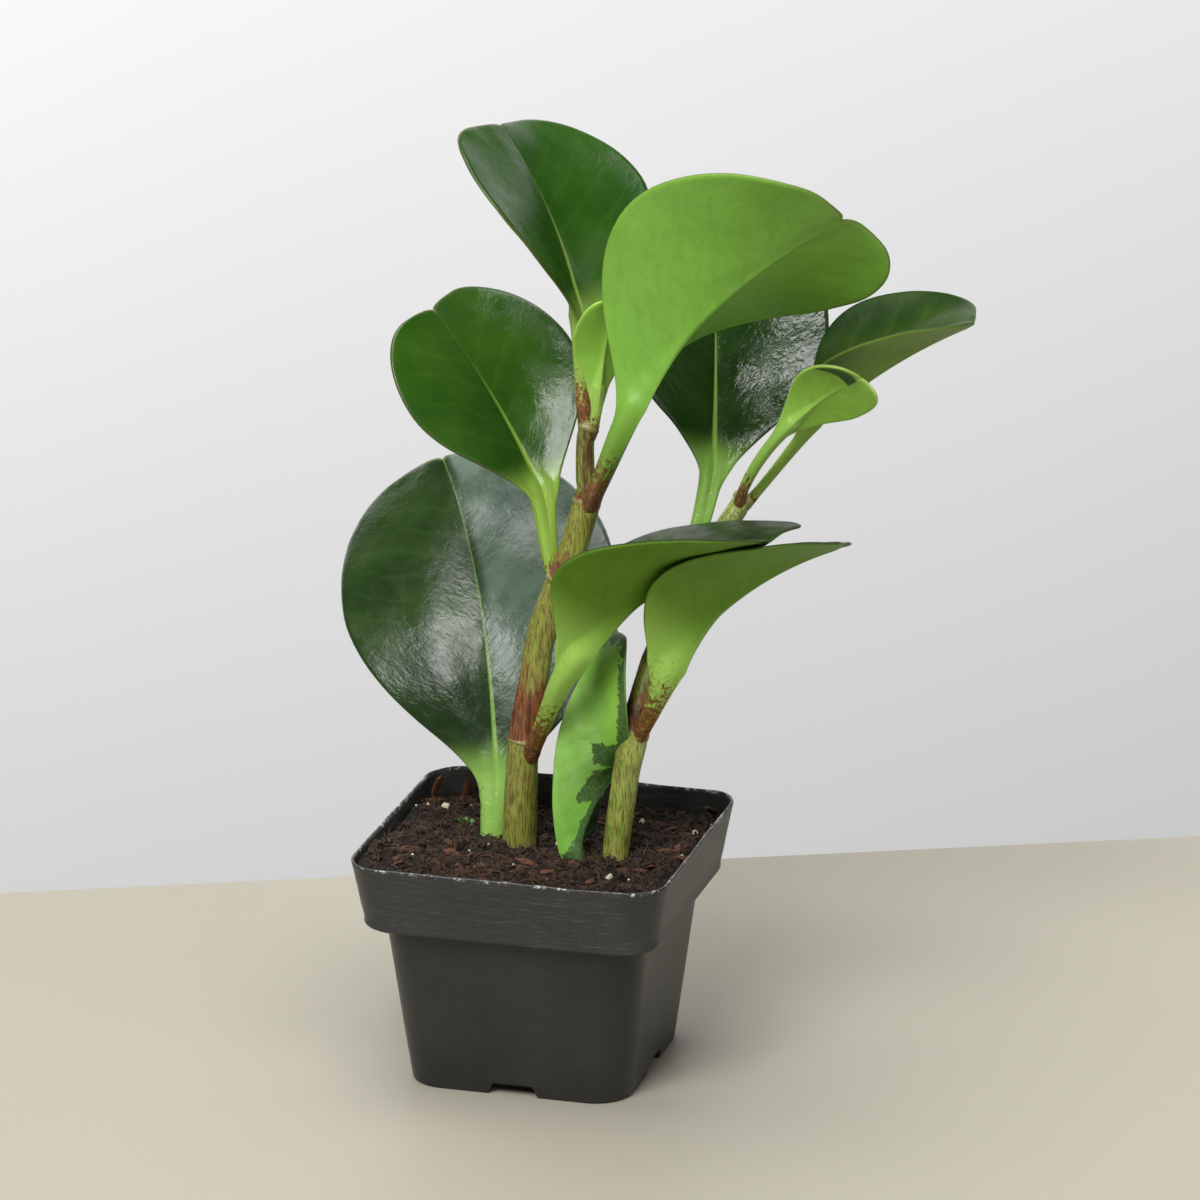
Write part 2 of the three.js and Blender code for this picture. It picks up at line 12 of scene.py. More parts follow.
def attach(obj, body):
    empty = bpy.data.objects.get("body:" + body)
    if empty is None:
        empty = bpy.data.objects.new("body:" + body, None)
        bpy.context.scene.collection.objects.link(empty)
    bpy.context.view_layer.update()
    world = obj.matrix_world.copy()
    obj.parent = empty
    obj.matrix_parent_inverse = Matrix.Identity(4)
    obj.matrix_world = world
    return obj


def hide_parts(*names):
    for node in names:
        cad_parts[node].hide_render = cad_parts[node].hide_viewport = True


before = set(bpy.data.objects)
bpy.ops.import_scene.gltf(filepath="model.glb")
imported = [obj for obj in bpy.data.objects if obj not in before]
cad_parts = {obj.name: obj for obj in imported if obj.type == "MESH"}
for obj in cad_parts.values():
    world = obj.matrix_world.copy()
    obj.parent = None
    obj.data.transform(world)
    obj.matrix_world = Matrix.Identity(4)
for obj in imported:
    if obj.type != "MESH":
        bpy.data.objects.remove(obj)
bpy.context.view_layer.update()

MM = 0.001

# ---------- camera ----------

# The picture was taken from a little to the right of the front and from above.
CAMERA_HEADING = math.radians(15.77)
CAMERA_RISE = math.radians(18.02)
CAMERA_DISTANCE = 2447.3
CAMERA_LENS = 231.7
AIM_RIGHT = 17.58
AIM_HEIGHT = 144.5

# ---------- pot ----------

POT_WIDTH = 101.6
POT_HEIGHT = 76.5
COLLAR_FOOT = 54.8
COLLAR_FOOT_WIDTH = 94.7
BODY_TOP_WIDTH = 84.3
BASE_WIDTH = 71.6
WALL = 1.3
FLOOR = 2.4
POT_CORNER = 12
NOTCH_FOOT_WIDTH = 16.4
NOTCH_TOP_WIDTH = 13
NOTCH_HEIGHT = 4
NOTCH_DEPTH = 12

# ---------- soil ----------

SOIL_LEVEL = 70
SOIL_FRONT_RISE = 0.085
SOIL_BACK_FALL = 0.03
GAP = 0.3
GROUND = Vector((0, 0, SOIL_LEVEL))

# ---------- stems ----------

# Each point is [x, y, height above the soil, diameter]. The stem thickens at its leaf nodes.
LEFT_STEM = [
    [-8.5, -0.5, -30, 9.5], [-8, 0, 0, 10.8], [-7, 0, 28, 10], [-6, 0.5, 36, 11],
    [-6, 0.5, 42, 9.4], [-3.5, 1, 55, 9.2], [-1.5, 1.5, 68, 9.2], [2.5, 2.5, 81, 9.4],
    [5.5, 3.5, 88.5, 9.8], [9.5, 4.5, 101, 8.7], [12.5, 5.5, 113.5, 8.6],
    [12.8, 5.5, 118, 7], [12, 5.5, 122, 6], [12, 5.5, 133, 5.7], [13.3, 5.5, 138.5, 6.6],
]
RIGHT_STEM = [
    [23.5, -3, -26, 7.4], [24, -2.5, 0, 8], [27, -2, 26, 8.4], [29.5, 0, 42, 9.6],
    [31, 2.5, 51, 8.2], [33.5, 7.5, 63, 7.4], [38, 17, 78.5, 7], [40, 19.5, 84, 7.6],
    [44.5, 24, 91.5, 6.3], [51, 29, 102, 6.3], [54, 32, 107, 6.4], [55.8, 33.3, 110.5, 6.8],
]
# Leaf nodes, each with a ring of scar, as (height above the soil, how far the red-brown reaches
# above it). The left stem's youngest part starts at TOP_PART.
LEFT_NODES = [(34.5, 42), (87, 16), (113, 8), (137, 3)]
RIGHT_NODES = [(41, 22), (83, 10), (109.5, 5)]
TOP_PART = 113

# ---------- leaves ----------

# base: where the blade meets its stalk, as [x, y, height above the soil].
# way: heading, rise and roll of the midrib as it sets out, in degrees. Heading 0 is +X, 90 is +Y.
# turn: how far the midrib has bent down, to the left, or turned, at its tip.
# size: the blade's length and half its width.
# fold: how far each half rises from flat at mid length, its change from base to tip, and what the
# left half has more than the right. cup: how far the left and the right half curl.
# bend: a soft crease along the middle of the left half, in degrees.
# shape: where along the blade it is widest, how far the two lobes pass the midrib's end, and how
# full the blade is near its tip and its base.
# lean: how much wider the right half is at its foot, and how much narrower the left one.
# root, elbow: the stalk leaves the stem at root and bends at elbow. stalk: its width at each end.
LEAVES = {
    "leaf_lower_left": dict(
        base=(-19.6, 12.6, 21), way=(112, 76.5, 1.5), turn=(51.5, 9.5, 1.5), size=(109.5, 45),
        fold=(2, -32.5, -15), cup=(0, 4.5), shape=(0.59, 0.045, 0.78, 0.35), bend=-13,
        root=(-19, 3.5, -22), elbow=(-18.5, 5, 2), stalk=(7.2, 11), look="old"),
    "leaf_middle_left": dict(
        base=(-5.3, 13, 114.7), way=(150.5, 54.5, -15), turn=(0.5, 14.5, 28), size=(64.5, 32.5),
        fold=(11.2, -27, -3), cup=(-19.5, 35.5), shape=(0.605, 0.03, 0.73, 0.23),
        root=(5, 3.5, 82), elbow=(-1, 6, 90), stalk=(4.6, 8.5), look="full"),
    "leaf_top_left": dict(
        base=(7.5, 14.5, 171), way=(148, 72.5, 10), turn=(27, 2, 12), size=(64, 38),
        fold=(14, -36, 0), cup=(-1, 21), shape=(0.57, 0.02, 0.79, 0.29),
        root=(13, 6, 134), elbow=(9.5, 8, 142), stalk=(4.2, 7), look="bright"),
    "leaf_top_right": dict(
        base=(32.5, -9.5, 151), way=(6, 59, -37), turn=(26, 14, 2), size=(89.5, 45),
        fold=(27, -56, -2.5), cup=(-43, 30), shape=(0.62, 0.04, 0.73, 0.23),
        root=(13, 4.5, 111.5), elbow=(17.5, 1, 120), stalk=(5.4, 8.5), look="light"),
    "leaf_young": dict(
        base=(17, 3.5, 151.5), way=(-47, 75.5, -13), turn=(20, -2, 6), size=(34, 10.5),
        fold=(12, -22, 1), cup=(0, -5), shape=(0.57, 0.03, 0.8, 0.27),
        root=(13.5, 5.5, 134), elbow=(16, 5, 141.5), stalk=(3.2, 3.8), look="young"),
    "leaf_back": dict(
        base=(44.7, 35.5, 120), way=(100.5, 61, 26), turn=(8.5, 2, 0.5), size=(79, 36),
        fold=(11.5, -12, 6.5), cup=(-22.5, 26), shape=(0.55, 0.04, 0.8, 0.25),
        root=(38.5, 18, 79.5), elbow=(39.5, 22.5, 87.5), stalk=(4.8, 7.5), look="dark"),
    "leaf_right": dict(
        base=(76.5, 38, 134.5), way=(10.5, 45, -3), turn=(22, 4, -5), size=(59, 32),
        fold=(28, -37, -1), cup=(20, -3), shape=(0.55, 0.03, 0.79, 0.29),
        root=(55, 33.5, 106.5), elbow=(60, 35, 112), stalk=(3.2, 4.5), look="level"),
    "leaf_curled": dict(
        base=(73.5, 23, 139), way=(-7, 44, -67), turn=(36, -1, 3), size=(35, 12),
        fold=(3.5, -22, 0), cup=(-11, -11), shape=(0.58, 0.03, 0.8, 0.26),
        root=(54.5, 31, 107.5), elbow=(56, 28, 117), stalk=(3.2, 4.2), look="fresh"),
    "leaf_middle": dict(
        base=(18.5, -23, 74), way=(9, 47, -7), turn=(27, -9, -5), size=(71.5, 42.5),
        fold=(30.5, -39, 5), cup=(-41, 2), shape=(0.5, 0.05, 0.8, 0.35),
        root=(-5, -0.5, 29.5), elbow=(2, -7.5, 42.5), stalk=(5.4, 9), look="olive"),
    "leaf_lower_right": dict(
        base=(45, -12.5, 69), way=(24, 54.5, -19), turn=(38, 2, -4), size=(64.5, 38),
        fold=(34, -48, -2), cup=(-28, -16), shape=(0.49, 0.04, 0.8, 0.31),
        root=(29, 0, 37.5), elbow=(35, -3.5, 47), stalk=(5.4, 9), look="olive"),
    "leaf_lower_middle": dict(
        base=(11, -8, 3.5), way=(201, 68, 21), turn=(-70.5, 10, -13.5), size=(75, 22),
        fold=(58, -111, -4), cup=(37, -27), shape=(0.4, 0.01, 0.8, 0.26), lean=0.45,
        root=(14, -6, -22), elbow=(13.5, -6.5, -3), stalk=(6.6, 7.4), look="marked"),
}

BLADE = 1.2
MOST_FOLD = 78
LEAN_REACH = 0.35
CREASE_START = 0.24
CREASE_END = 0.48
NOTCH_SIDE = 0.42
ROW_CROWDING = 1.1
STALK_FLATNESS = 0.95
STALK_HEAD_HEIGHT = 0.75
STALK_WIDENING = 1.7
STALK_LEAD = 0.35
STALK_SINK = 0.2
COURSE_SAMPLES = 60
COURSE_REACH = 1.16

# ---------- small helpers ----------

MERGE_DISTANCE = 3e-6


def mix(a, b, t):
    return a + (b - a) * t


def smooth(t):
    t = min(1.0, max(0.0, t))
    return t * t * (3 - 2 * t)


def mode(name):
    bpy.ops.object.mode_set(mode=name)


def unselect():
    if bpy.context.object and bpy.context.object.mode != "OBJECT":
        mode("OBJECT")
    bpy.ops.object.select_all(action="DESELECT")


def edit_all():
    mode("EDIT")
    bpy.ops.mesh.select_all(action="SELECT")


def new_object(name, data):
    made = bpy.data.objects.new(name, data)
    bpy.context.scene.collection.objects.link(made)
    return made


def sleeve(name, rings, facts):
    """A closed skin. A grid is rolled up: each of its rows is laid on a ring, then its seam and its
    two ends, where a ring has shrunk to a point, are merged. facts are numbers for each ring point."""
    rows, sides = len(rings), len(rings[0])
    unselect()
    bpy.ops.mesh.primitive_grid_add(x_subdivisions=sides, y_subdivisions=rows - 1, size=1)
    piece = bpy.context.object
    piece.name = name
    mesh = piece.data
    columns = [column % sides for column in range(sides + 1)]
    places = []
    for ring in rings:
        for column in columns:
            places.extend(ring[column] * MM)
    mesh.vertices.foreach_set("co", places)
    for fact, table in facts.items():
        layer = mesh.attributes.new(fact, "FLOAT", "POINT")
        layer.data.foreach_set("value", [row[column] for row in table for column in columns])
    edit_all()
    bpy.ops.mesh.remove_doubles(threshold=MERGE_DISTANCE)
    bpy.ops.mesh.normals_make_consistent(inside=False)
    mode("OBJECT")
    bpy.ops.object.shade_smooth()
    return piece


def finish(piece, node, material):
    """The piece gets its material, rides on the pot and takes the place of its solid."""
    piece.data.materials.clear()
    piece.data.materials.append(material)
    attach(piece, "root")
    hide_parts(node)


# ---------- materials ----------


def srgb(*levels):
    """A colour read on a screen, 0 to 255, as the linear colour that a shader takes."""
    shares = [level / 255 for level in levels]
    return (*(s / 12.92 if s <= 0.04045 else ((s + 0.055) / 1.055) ** 2.4 for s in shares), 1.0)


class Value:
    """A number or colour that a material's nodes work out. Arithmetic on it adds their nodes."""

    def __init__(self, owner, socket):
        self.owner = owner
        self.socket = socket

    def apply(self, operation, other=0.0):
        return self.owner.node("Math", {0: self, 1: other}, operation=operation)

    def __add__(self, other):
        return self.apply("ADD", other)

    def __sub__(self, other):
        return self.apply("SUBTRACT", other)

    def __mul__(self, other):
        return self.apply("MULTIPLY", other)

    def __truediv__(self, other):
        return self.apply("DIVIDE", other)

    def span(self, low, high, to_low=0.0, to_high=1.0, curve="SMOOTHSTEP"):
        """low becomes to_low, high becomes to_high, and a curve leads from one to the other."""
        inputs = {"Value": self, "From Min": low, "From Max": high, "To Min": to_low, "To Max": to_high}
        return self.owner.node("MapRange", inputs, interpolation_type=curve)

    def under(self, colour, share):
        """This colour with that much of another one over it."""
        return self.owner.blend(share, self, colour)


class Finish:
    """A material in the making: its nodes are joined as they are added."""

    def __init__(self, name, roughness=0.5, specular=0.5):
        self.material = bpy.data.materials.new(name)
        self.material.use_nodes = True
        self.tree = self.material.node_tree
        self.inputs = self.tree.nodes["Principled BSDF"].inputs
        self.inputs["Roughness"].default_value = roughness
        self.inputs["Specular IOR Level"].default_value = specular
        self.coords = self.node("TexCoord", output="Object")

    def node(self, kind, inputs=None, output=0, **settings):
        """Adds a node and gives one of its outputs."""
        made = self.tree.nodes.new("ShaderNode" + kind)
        for key, value in settings.items():
            setattr(made, key, value)
        for key, value in (inputs or {}).items():
            if isinstance(value, Value):
                self.tree.links.new(value.socket, made.inputs[key])
            else:
                made.inputs[key].default_value = value
        return Value(self, made.outputs[output])

    def fact(self, name):
        return self.node("Attribute", output="Fac", attribute_name=name)

    def point(self, x, y, z):
        return self.node("CombineXYZ", {0: x, 1: y, 2: z})

    def cloud(self, size, detail=3.0, roughness=0.5, height=1, coords=None, warp=0.0):
        """Noise from 0 to 1. Its features are about size mm wide, and height makes them lower."""
        coords = coords or self.coords
        if height != 1:
            coords = self.node("Mapping", {"Vector": coords, "Scale": (1, 1, height)})
        inputs = {"Vector": coords, "Scale": 1 / (size * MM), "Detail": detail,
                  "Roughness": roughness, "Distortion": warp}
        return self.node("TexNoise", inputs, "Fac")

    def blend(self, share, *colours):
        a, b = (srgb(*colour) if isinstance(colour, tuple) else colour for colour in colours)
        return self.node("Mix", {0: share, 6: a, 7: b}, 2, data_type="RGBA")

    def surface(self, colour, rough=None, bumps=None, depth=0.0):
        """Sets the colour, the roughness, and bumps of that depth in mm."""
        ends = {"Base Color": colour}
        if rough:
            ends["Roughness"] = rough
            ends["Normal"] = self.node("Bump", {"Height": bumps, "Distance": depth * MM, "Strength": 1.0})
        for key, value in ends.items():
            self.tree.links.new(value.socket, self.inputs[key])
        return self.material


# Each look: the upper side, the underside, the line along the margin, the stalk, how far the
# red-brown reaches up the stalk in mm, and of the upper side its roughness, how much of the usual
# sheen it has, and how deep its wrinkles are in mm.
LOOKS = {
    "old": ((24, 46, 13), (96, 130, 60), (104, 134, 80), (136, 178, 84), 0, 0.27, 0.36, 0.17),
    "full": ((32, 68, 13), (104, 140, 44), (92, 92, 48), (136, 170, 68), 16, 0.22, 0.31, 0.12),
    "level": ((20, 46, 8), (112, 144, 54), (84, 100, 50), (140, 172, 76), 8, 0.3, 0.08, 0.1),
    "bright": ((28, 65, 8), (92, 130, 50), (92, 80, 42), (140, 170, 78), 24, 0.24, 0.3, 0.07),
    "light": ((46, 88, 26), (118, 172, 58), (108, 84, 44), (120, 168, 60), 31, 0.22, 0.5, 0.15),
    "young": ((140, 186, 66), (148, 206, 76), (160, 200, 80), (156, 194, 88), 10, 0.3, 0.5, 0.08),
    "dark": ((21, 47, 7), (80, 112, 46), (86, 90, 48), (132, 174, 76), 6, 0.14, 0.33, 0.2),
    "fresh": ((36, 66, 20), (146, 194, 74), (176, 204, 112), (142, 184, 80), 17, 0.26, 0.5, 0.08),
    "olive": ((20, 37, 12), (98, 139, 40), (66, 82, 42), (150, 190, 86), 38, 0.42, 0.1, 0.15),
    "marked": ((44, 66, 34), (124, 182, 68), (150, 190, 104), (134, 184, 84), 0, 0.3, 0.3, 0.12),
}
# The side veins: how far apart they are, and how far and how straight they slant to the tip
VEIN_STEP = 10.5
VEIN_SLANT = 0.95
VEIN_POWER = 0.9
UNDERSIDE_ROUGHNESS = 0.48


def leaf_finish(look):
    """Thick waxy leaf: dark and glossy above with a pale midrib, lighter and duller below, a thin
    line along the margin and a pale stalk that is red-brown and spotted at its foot."""
    above, below, line, stalk, red, shine, sheen, depth = LOOKS[look]
    leaf = Finish("leaf " + look, specular=sheen)
    along, across, edge, foot = (leaf.fact(name) for name in ("along", "across", "edge", "foot"))
    reach = across.apply("ABSOLUTE")
    upper = leaf.fact("upper").span(0.35, 0.65)

    # Side veins leave the midrib at a slant and curve towards the tip, and wrinkles follow them.
    slant = along - reach.apply("POWER", VEIN_POWER) * VEIN_SLANT
    turns = (slant + leaf.cloud(16, 2.0) * 9) / VEIN_STEP
    vein = (turns.apply("FRACT") - 0.5).apply("ABSOLUTE").span(0.16, 0) * edge.span(1.5, 9)
    skin = leaf.point(slant * MM, across * (0.7 * MM), upper * 0.03)

    tone = leaf.cloud(22, 2.0)
    rib = (reach / along.span(0, 45, 1.2 if look == "old" else 1.5, 0.4, "LINEAR")).span(1, 0.35)
    far, faint = (75, 0.3) if look in ("old", "dark") else (50, 0.12)
    rib *= along.span(far, 5, faint, 1)

    top = leaf.blend(tone.span(0.3, 0.7, 0, 0.12), above, below)
    top = top.under(below, vein * 0.045)
    if look == "old":
        # Painted sheen: the right half is painted with a pale grey-blue sheen, stronger towards the tip, that
        # stands in for the reflection of the overhead light.
        painted_sheen = leaf.cloud(9, 4.0, 0.6, coords=skin).span(0.3, 0.7, 0.35, 0.75)
        painted_sheen *= across.span(-0.5, -4) * along.span(8, 95, 0.15, 1, "LINEAR")
        top = top.under((118, 138, 126), painted_sheen)
    top = top.under(stalk, rib * 0.75)
    # The green pales on its way down to the stalk.
    paling = {"bright": 7, "marked": -2}.get(look, 15)
    top = top.under(stalk, (reach * 1.2 + along).span(paling, paling - 18, 0, 0.55))

    shadowed = leaf.blend(0.5, below, above)
    blotch = leaf.cloud(3.2, 3.0, 0.6, coords=skin).span(0.42, 0.66, 0, 0.22)
    grain = leaf.cloud(0.7, 3.0, 0.7).span(0.5, 0.7, 0, 0.2)
    bottom = leaf.blend(tone.span(0.35, 0.75, 0, 0.25), below, shadowed)
    for share in (blotch, grain, vein * 0.14):
        bottom = bottom.under(shadowed, share)
    bottom = bottom.under(stalk, rib * 0.4)
    if look == "olive":
        bottom = bottom.under(stalk, along.span(19, 2, 0, 0.75))
    if look == "fresh":
        # The tip curls over and shows its darker upper side.
        width = along.span(22.5, 30, 0, 4.8) * along.span(37, 33.5)
        curl = (width - edge).span(0, 0.4) * across.span(1, 0) * edge.span(0.5, 0.9)
        bottom = bottom.under((48, 84, 32), curl)
    if look == "marked":
        bottom = marked_patch(leaf, along, across, edge, bottom)

    colour = leaf.blend(upper, bottom, top)
    head = -6 if look == "marked" else 10
    colour = colour.under(stalk, along.span(head, head - 16))
    colour = colour.under(line, edge.span(0.5, 0.15) * along.span(-2, 10) * 0.5)
    if red:
        # Red-brown at the stalk's foot breaks up into spots and streaks on the way to the blade.
        strands = leaf.point(along * (0.36 * MM), across * MM, upper * 0.05)
        broken = leaf.cloud(0.4, 3.0, 0.6, coords=strands) + leaf.cloud(0.8, 2.0, coords=strands)
        blush = broken * 1.9 + foot.span(red, 0.35 * red, 0, 1, "LINEAR")
        deep = leaf.blend(foot.span(5, 12), (92, 44, 32), (108, 52, 34))
        deep = deep.under((164, 112, 70), leaf.cloud(0.6, 2.0, coords=strands).span(0.5, 0.62, 0, 0.5))
        colour = colour.under(deep, blush.span(2.2, 2.5, 0, 0.9) * foot.span(1.2 * red, 0.8 * red))
        colour = colour.under(deep, foot.span(0.6 * red, 0.1 * red, 0, 0.45))
    if look in ("old", "marked"):
        # Brown flecks along the stalk's margins and at its foot
        flecks = leaf.cloud(0.8, 3.0, 0.6, height=0.45).span(0.6, 0.66)
        near = edge.span(3.2, 1) * along.span(4, -8)
        colour = colour.under((92, 56, 34), flecks * near * 0.8)

    gloss = leaf.cloud(5).span(0.3, 0.7, shine - 0.04, shine + 0.08)
    rough = leaf.node("Mix", {0: upper, 2: UNDERSIDE_ROUGHNESS, 3: gloss}, data_type="FLOAT")
    wrinkles = leaf.cloud(2.0, 3.0, 0.6, coords=skin, warp=0.6) + leaf.cloud(4.5, 2.0)
    return leaf.surface(colour, rough, wrinkles + leaf.cloud(0.7, 2.0) * 0.16, depth)


def marked_patch(leaf, along, across, edge, plain):
    """A darker band with a ragged edge runs along the left margin and widens into two islands; a
    brighter strip lies beside it."""
    ragged = leaf.cloud(2.2, 5.0, 0.7) * 5 - 2.5
    run = along + leaf.cloud(2.6, 5.0, 0.7, warp=0.3) * 6 - 3
    band = run.span(38, 74, 4, 1.2, "LINEAR") * run.span(37, 39)
    first = run.span(39.5, 37.5) * run.span(28.3, 29.3, 0, 8)
    second = run.span(27.5, 26.3) * run.span(13, 16, 0, 7.5)
    low_band = run.span(40, 38) * run.span(-6, 15, 3.6, 2.8)
    inside = band + first + second + low_band - edge - ragged
    left = across.span(0.3, 0.8)
    strip = inside.span(-6, -1) * along.span(28, 42)
    plain = plain.under((150, 204, 76), strip * left * 0.6)
    dark = leaf.blend(leaf.cloud(0.8).span(0.4, 0.65), (56, 84, 44), (78, 108, 62))
    # Its middle is paler.
    pale = edge.span(5, 11) * along.span(8, 22) * leaf.cloud(7).span(0.35, 0.7, 0.1, 0.4)
    plain = plain.under((176, 206, 136), pale)
    return plain.under(dark, inside.span(-0.15, 0.15) * left * 0.93)


def stem_finish(name, green, olive):
    """Smooth fleshy stem: yellow-green with fine brown dashes and streaks, red-brown above each node
    that breaks up on its way to the next, and olive-brown with long stripes in its youngest part."""
    stem = Finish(name)
    streaks = stem.cloud(0.9, 4.0, 0.65, height=0.09)
    stripes = stem.cloud(1.1, 2.0, height=0.05)
    dashes = stem.cloud(0.45, 2.0, 0.6, height=0.11)
    patches = stem.cloud(4, 3.0, 0.6, height=0.4)
    top = stem.blend(stripes.span(0.42, 0.6), (118, 120, 58), (84, 58, 36))
    colour = stem.blend(stem.cloud(7).span(0.35, 0.65), green, olive).under(top, stem.fact("top"))
    colour = colour.under((108, 142, 46), stripes.span(0.46, 0.34, 0, 0.7))
    colour = colour.under((112, 72, 36), streaks.span(0.52, 0.64, 0, 0.65))
    colour = colour.under((88, 58, 30), dashes.span(0.53, 0.61, 0, 0.75))
    colour = colour.under((158, 168, 92), dashes.span(0.43, 0.36, 0, 0.5))
    red = stem.blend(stripes.span(0.4, 0.62), (84, 38, 27), (132, 78, 46))
    red = red.under((150, 104, 62), dashes.span(0.46, 0.38, 0, 0.5))
    blush = (streaks + patches) * 1.1 + stem.fact("blush")
    colour = colour.under(red, blush.span(1.3, 1.8, 0, 0.95))
    colour = colour.under((150, 142, 92), stem.fact("scar").span(0.25, 0.9, 0, 0.75))
    return stem.surface(colour, streaks.span(0.3, 0.7, 0.3, 0.42), dashes * 0.4 + streaks, 0.16)


def pot_finish():
    """Thin black nursery plastic: satin, with a little dust, fine level scuffs on the collar and pale marks
    along the rim that are partly wear and partly a painted glint."""
    pot = Finish("black plastic", 0.4, 0.42)
    height = pot.node("SeparateXYZ", {0: pot.coords}, "Z")
    collar = height.span(0.0545, 0.0552)
    rim_wear_and_glint = height.span(0.0752, 0.0762)
    scuffs = pot.cloud(9, 6.0, 0.75, height=22)
    chalk = pot.cloud(0.9, 4.0, 0.7, height=4).span(0.6, 0.68)
    colour = pot.blend(pot.cloud(26, 4.0, 0.55).span(0.3, 0.75), (31, 31, 31), (42, 41, 40))
    colour = colour.under((52, 52, 52), collar * 0.4)
    colour = colour.under((94, 93, 91), scuffs.span(0.54, 0.66) * collar.span(0, 1, 0.08, 0.5))
    colour = colour.under((120, 118, 114), chalk * collar * 0.35)
    # Pale patches along the rim: partly wear, partly a painted glint of light.
    colour = colour.under((196, 194, 190), rim_wear_and_glint * pot.cloud(3, 5.0, 0.75).span(0.54, 0.62) * 0.8)
    bumps = scuffs * 0.6 + pot.cloud(0.5, 2.0) * 0.2
    return pot.surface(colour, scuffs.span(0.3, 0.75, 0.32, 0.46), bumps, 0.07)


def soil_finish(name, dark, light, fleck):
    """Moist peat: brown on its crumbs and near black in its hollows, which is partly its own colour and
    partly painted shade.
    """
    soil = Finish(name, 0.85, 0.3)
    lumps = soil.cloud(2.2, 5.0, 0.7)
    grit = soil.cloud(0.6, 3.0, 0.7)
    # Painted shade: the colour darkens to near black where the bumps are low, in the hollows.
    colour = soil.blend((soil.fact("tone") * 0.5 + lumps).span(0.35, 1), dark, light)
    colour = colour.under(fleck, grit.span(0.6, 0.75, 0, 0.5))
    return soil.surface(colour, grit.span(0.3, 0.7, 0.6, 0.95), lumps + grit * 0.5, 0.5)


# ---------- leaves in shape ----------


def rib_course(leaf):
    """The midrib, as a function of the share of the blade's length: its centre, the way it runs,
    and the blade's side and up directions there."""
    heading, rise, roll, recurve, sweep, twist = (math.radians(angle) for angle in leaf["way"] + leaf["turn"])
    level = Vector((math.cos(heading), math.sin(heading), 0))
    start = level * math.cos(rise) + Vector((0, 0, math.sin(rise)))
    side = Vector((-level.y, level.x, 0))
    side.rotate(Quaternion(start, roll))
    up = start.cross(side)
    centre = Vector(leaf["base"]) + GROUND
    step = leaf["size"][0] * COURSE_REACH / COURSE_SAMPLES
    stations, before = [], None
    for sample in range(COURSE_SAMPLES + 1):
        share = COURSE_REACH * sample / COURSE_SAMPLES
        bent, swept = recurve * share, sweep * share
        along = (start * math.cos(bent) - up * math.sin(bent)) * math.cos(swept) + side * math.sin(swept)
        over = (start * math.sin(bent) + up * math.cos(bent)).cross(along).normalized()
        normal = along.cross(over)
        turn = Quaternion(along, twist * share)
        over.rotate(turn)
        normal.rotate(turn)
        if before:
            centre = centre + (along + before) * (step / 2)
        before = along
        stations.append((centre.copy(), along, over, normal))

    def at(share):
        place = min(1.0, share / COURSE_REACH) * COURSE_SAMPLES
        below = min(int(place), COURSE_SAMPLES - 1)
        return [a.lerp(b, place - below) for a, b in zip(stations[below], stations[below + 1])]

    return at


def bezier(handles, t):
    while len(handles) > 1:
        handles = [a.lerp(b, t) for a, b in zip(handles, handles[1:])]
    return handles[0]


def outline(leaf, steps=(22, 20, 16)):
    """The blade's outline from base to notch, as rows of (x, half width)."""
    length, half = leaf["size"]
    widest, notch, shoulder, flare = leaf["shape"]
    foot = leaf["stalk"][1] / 2 / half
    tip = 1 + notch
    curves = [
        [(0, foot), (0.1, foot + flare), (widest - 0.3, 1), (widest, 1)],
        [(widest, 1), (widest + 0.26, 1), (tip, shoulder), (tip, NOTCH_SIDE)],
        [(tip, NOTCH_SIDE), (tip, NOTCH_SIDE / 2), (1 + 0.7 * notch, 0.04), (1, 0)],
    ]
    rows = [(0.0, foot * half)]
    for count, handles in zip(steps, curves):
        for step in range(1, count + 1):
            point = bezier([Vector(handle) for handle in handles], step / count)
            rows.append((point.x * length, point.y * half))
    return rows


# Where the columns lie between midrib (0) and margin (1)
HALF_COLUMNS = [
    0, 0.02, 0.05, 0.09, 0.15, 0.22, 0.3, 0.39, 0.48, 0.58, 0.68, 0.78, 0.86, 0.92, 0.96, 0.985, 1]
STALK_ROWS = 26
STALK_SAMPLES = 40
CREASE_STEPS = 30
MARGIN_ROUND = 0.8
RIB_REACH = 0.34
FLARE_BACK = 10
FLARE_AHEAD = 13
# What the finish reads at each point: how far it lies along the blade, to the left of the midrib,
# from the margin, whether it is on the upper side, and how far it lies from the stalk's foot
LEAF_FACTS = ("along", "across", "edge", "upper", "foot")


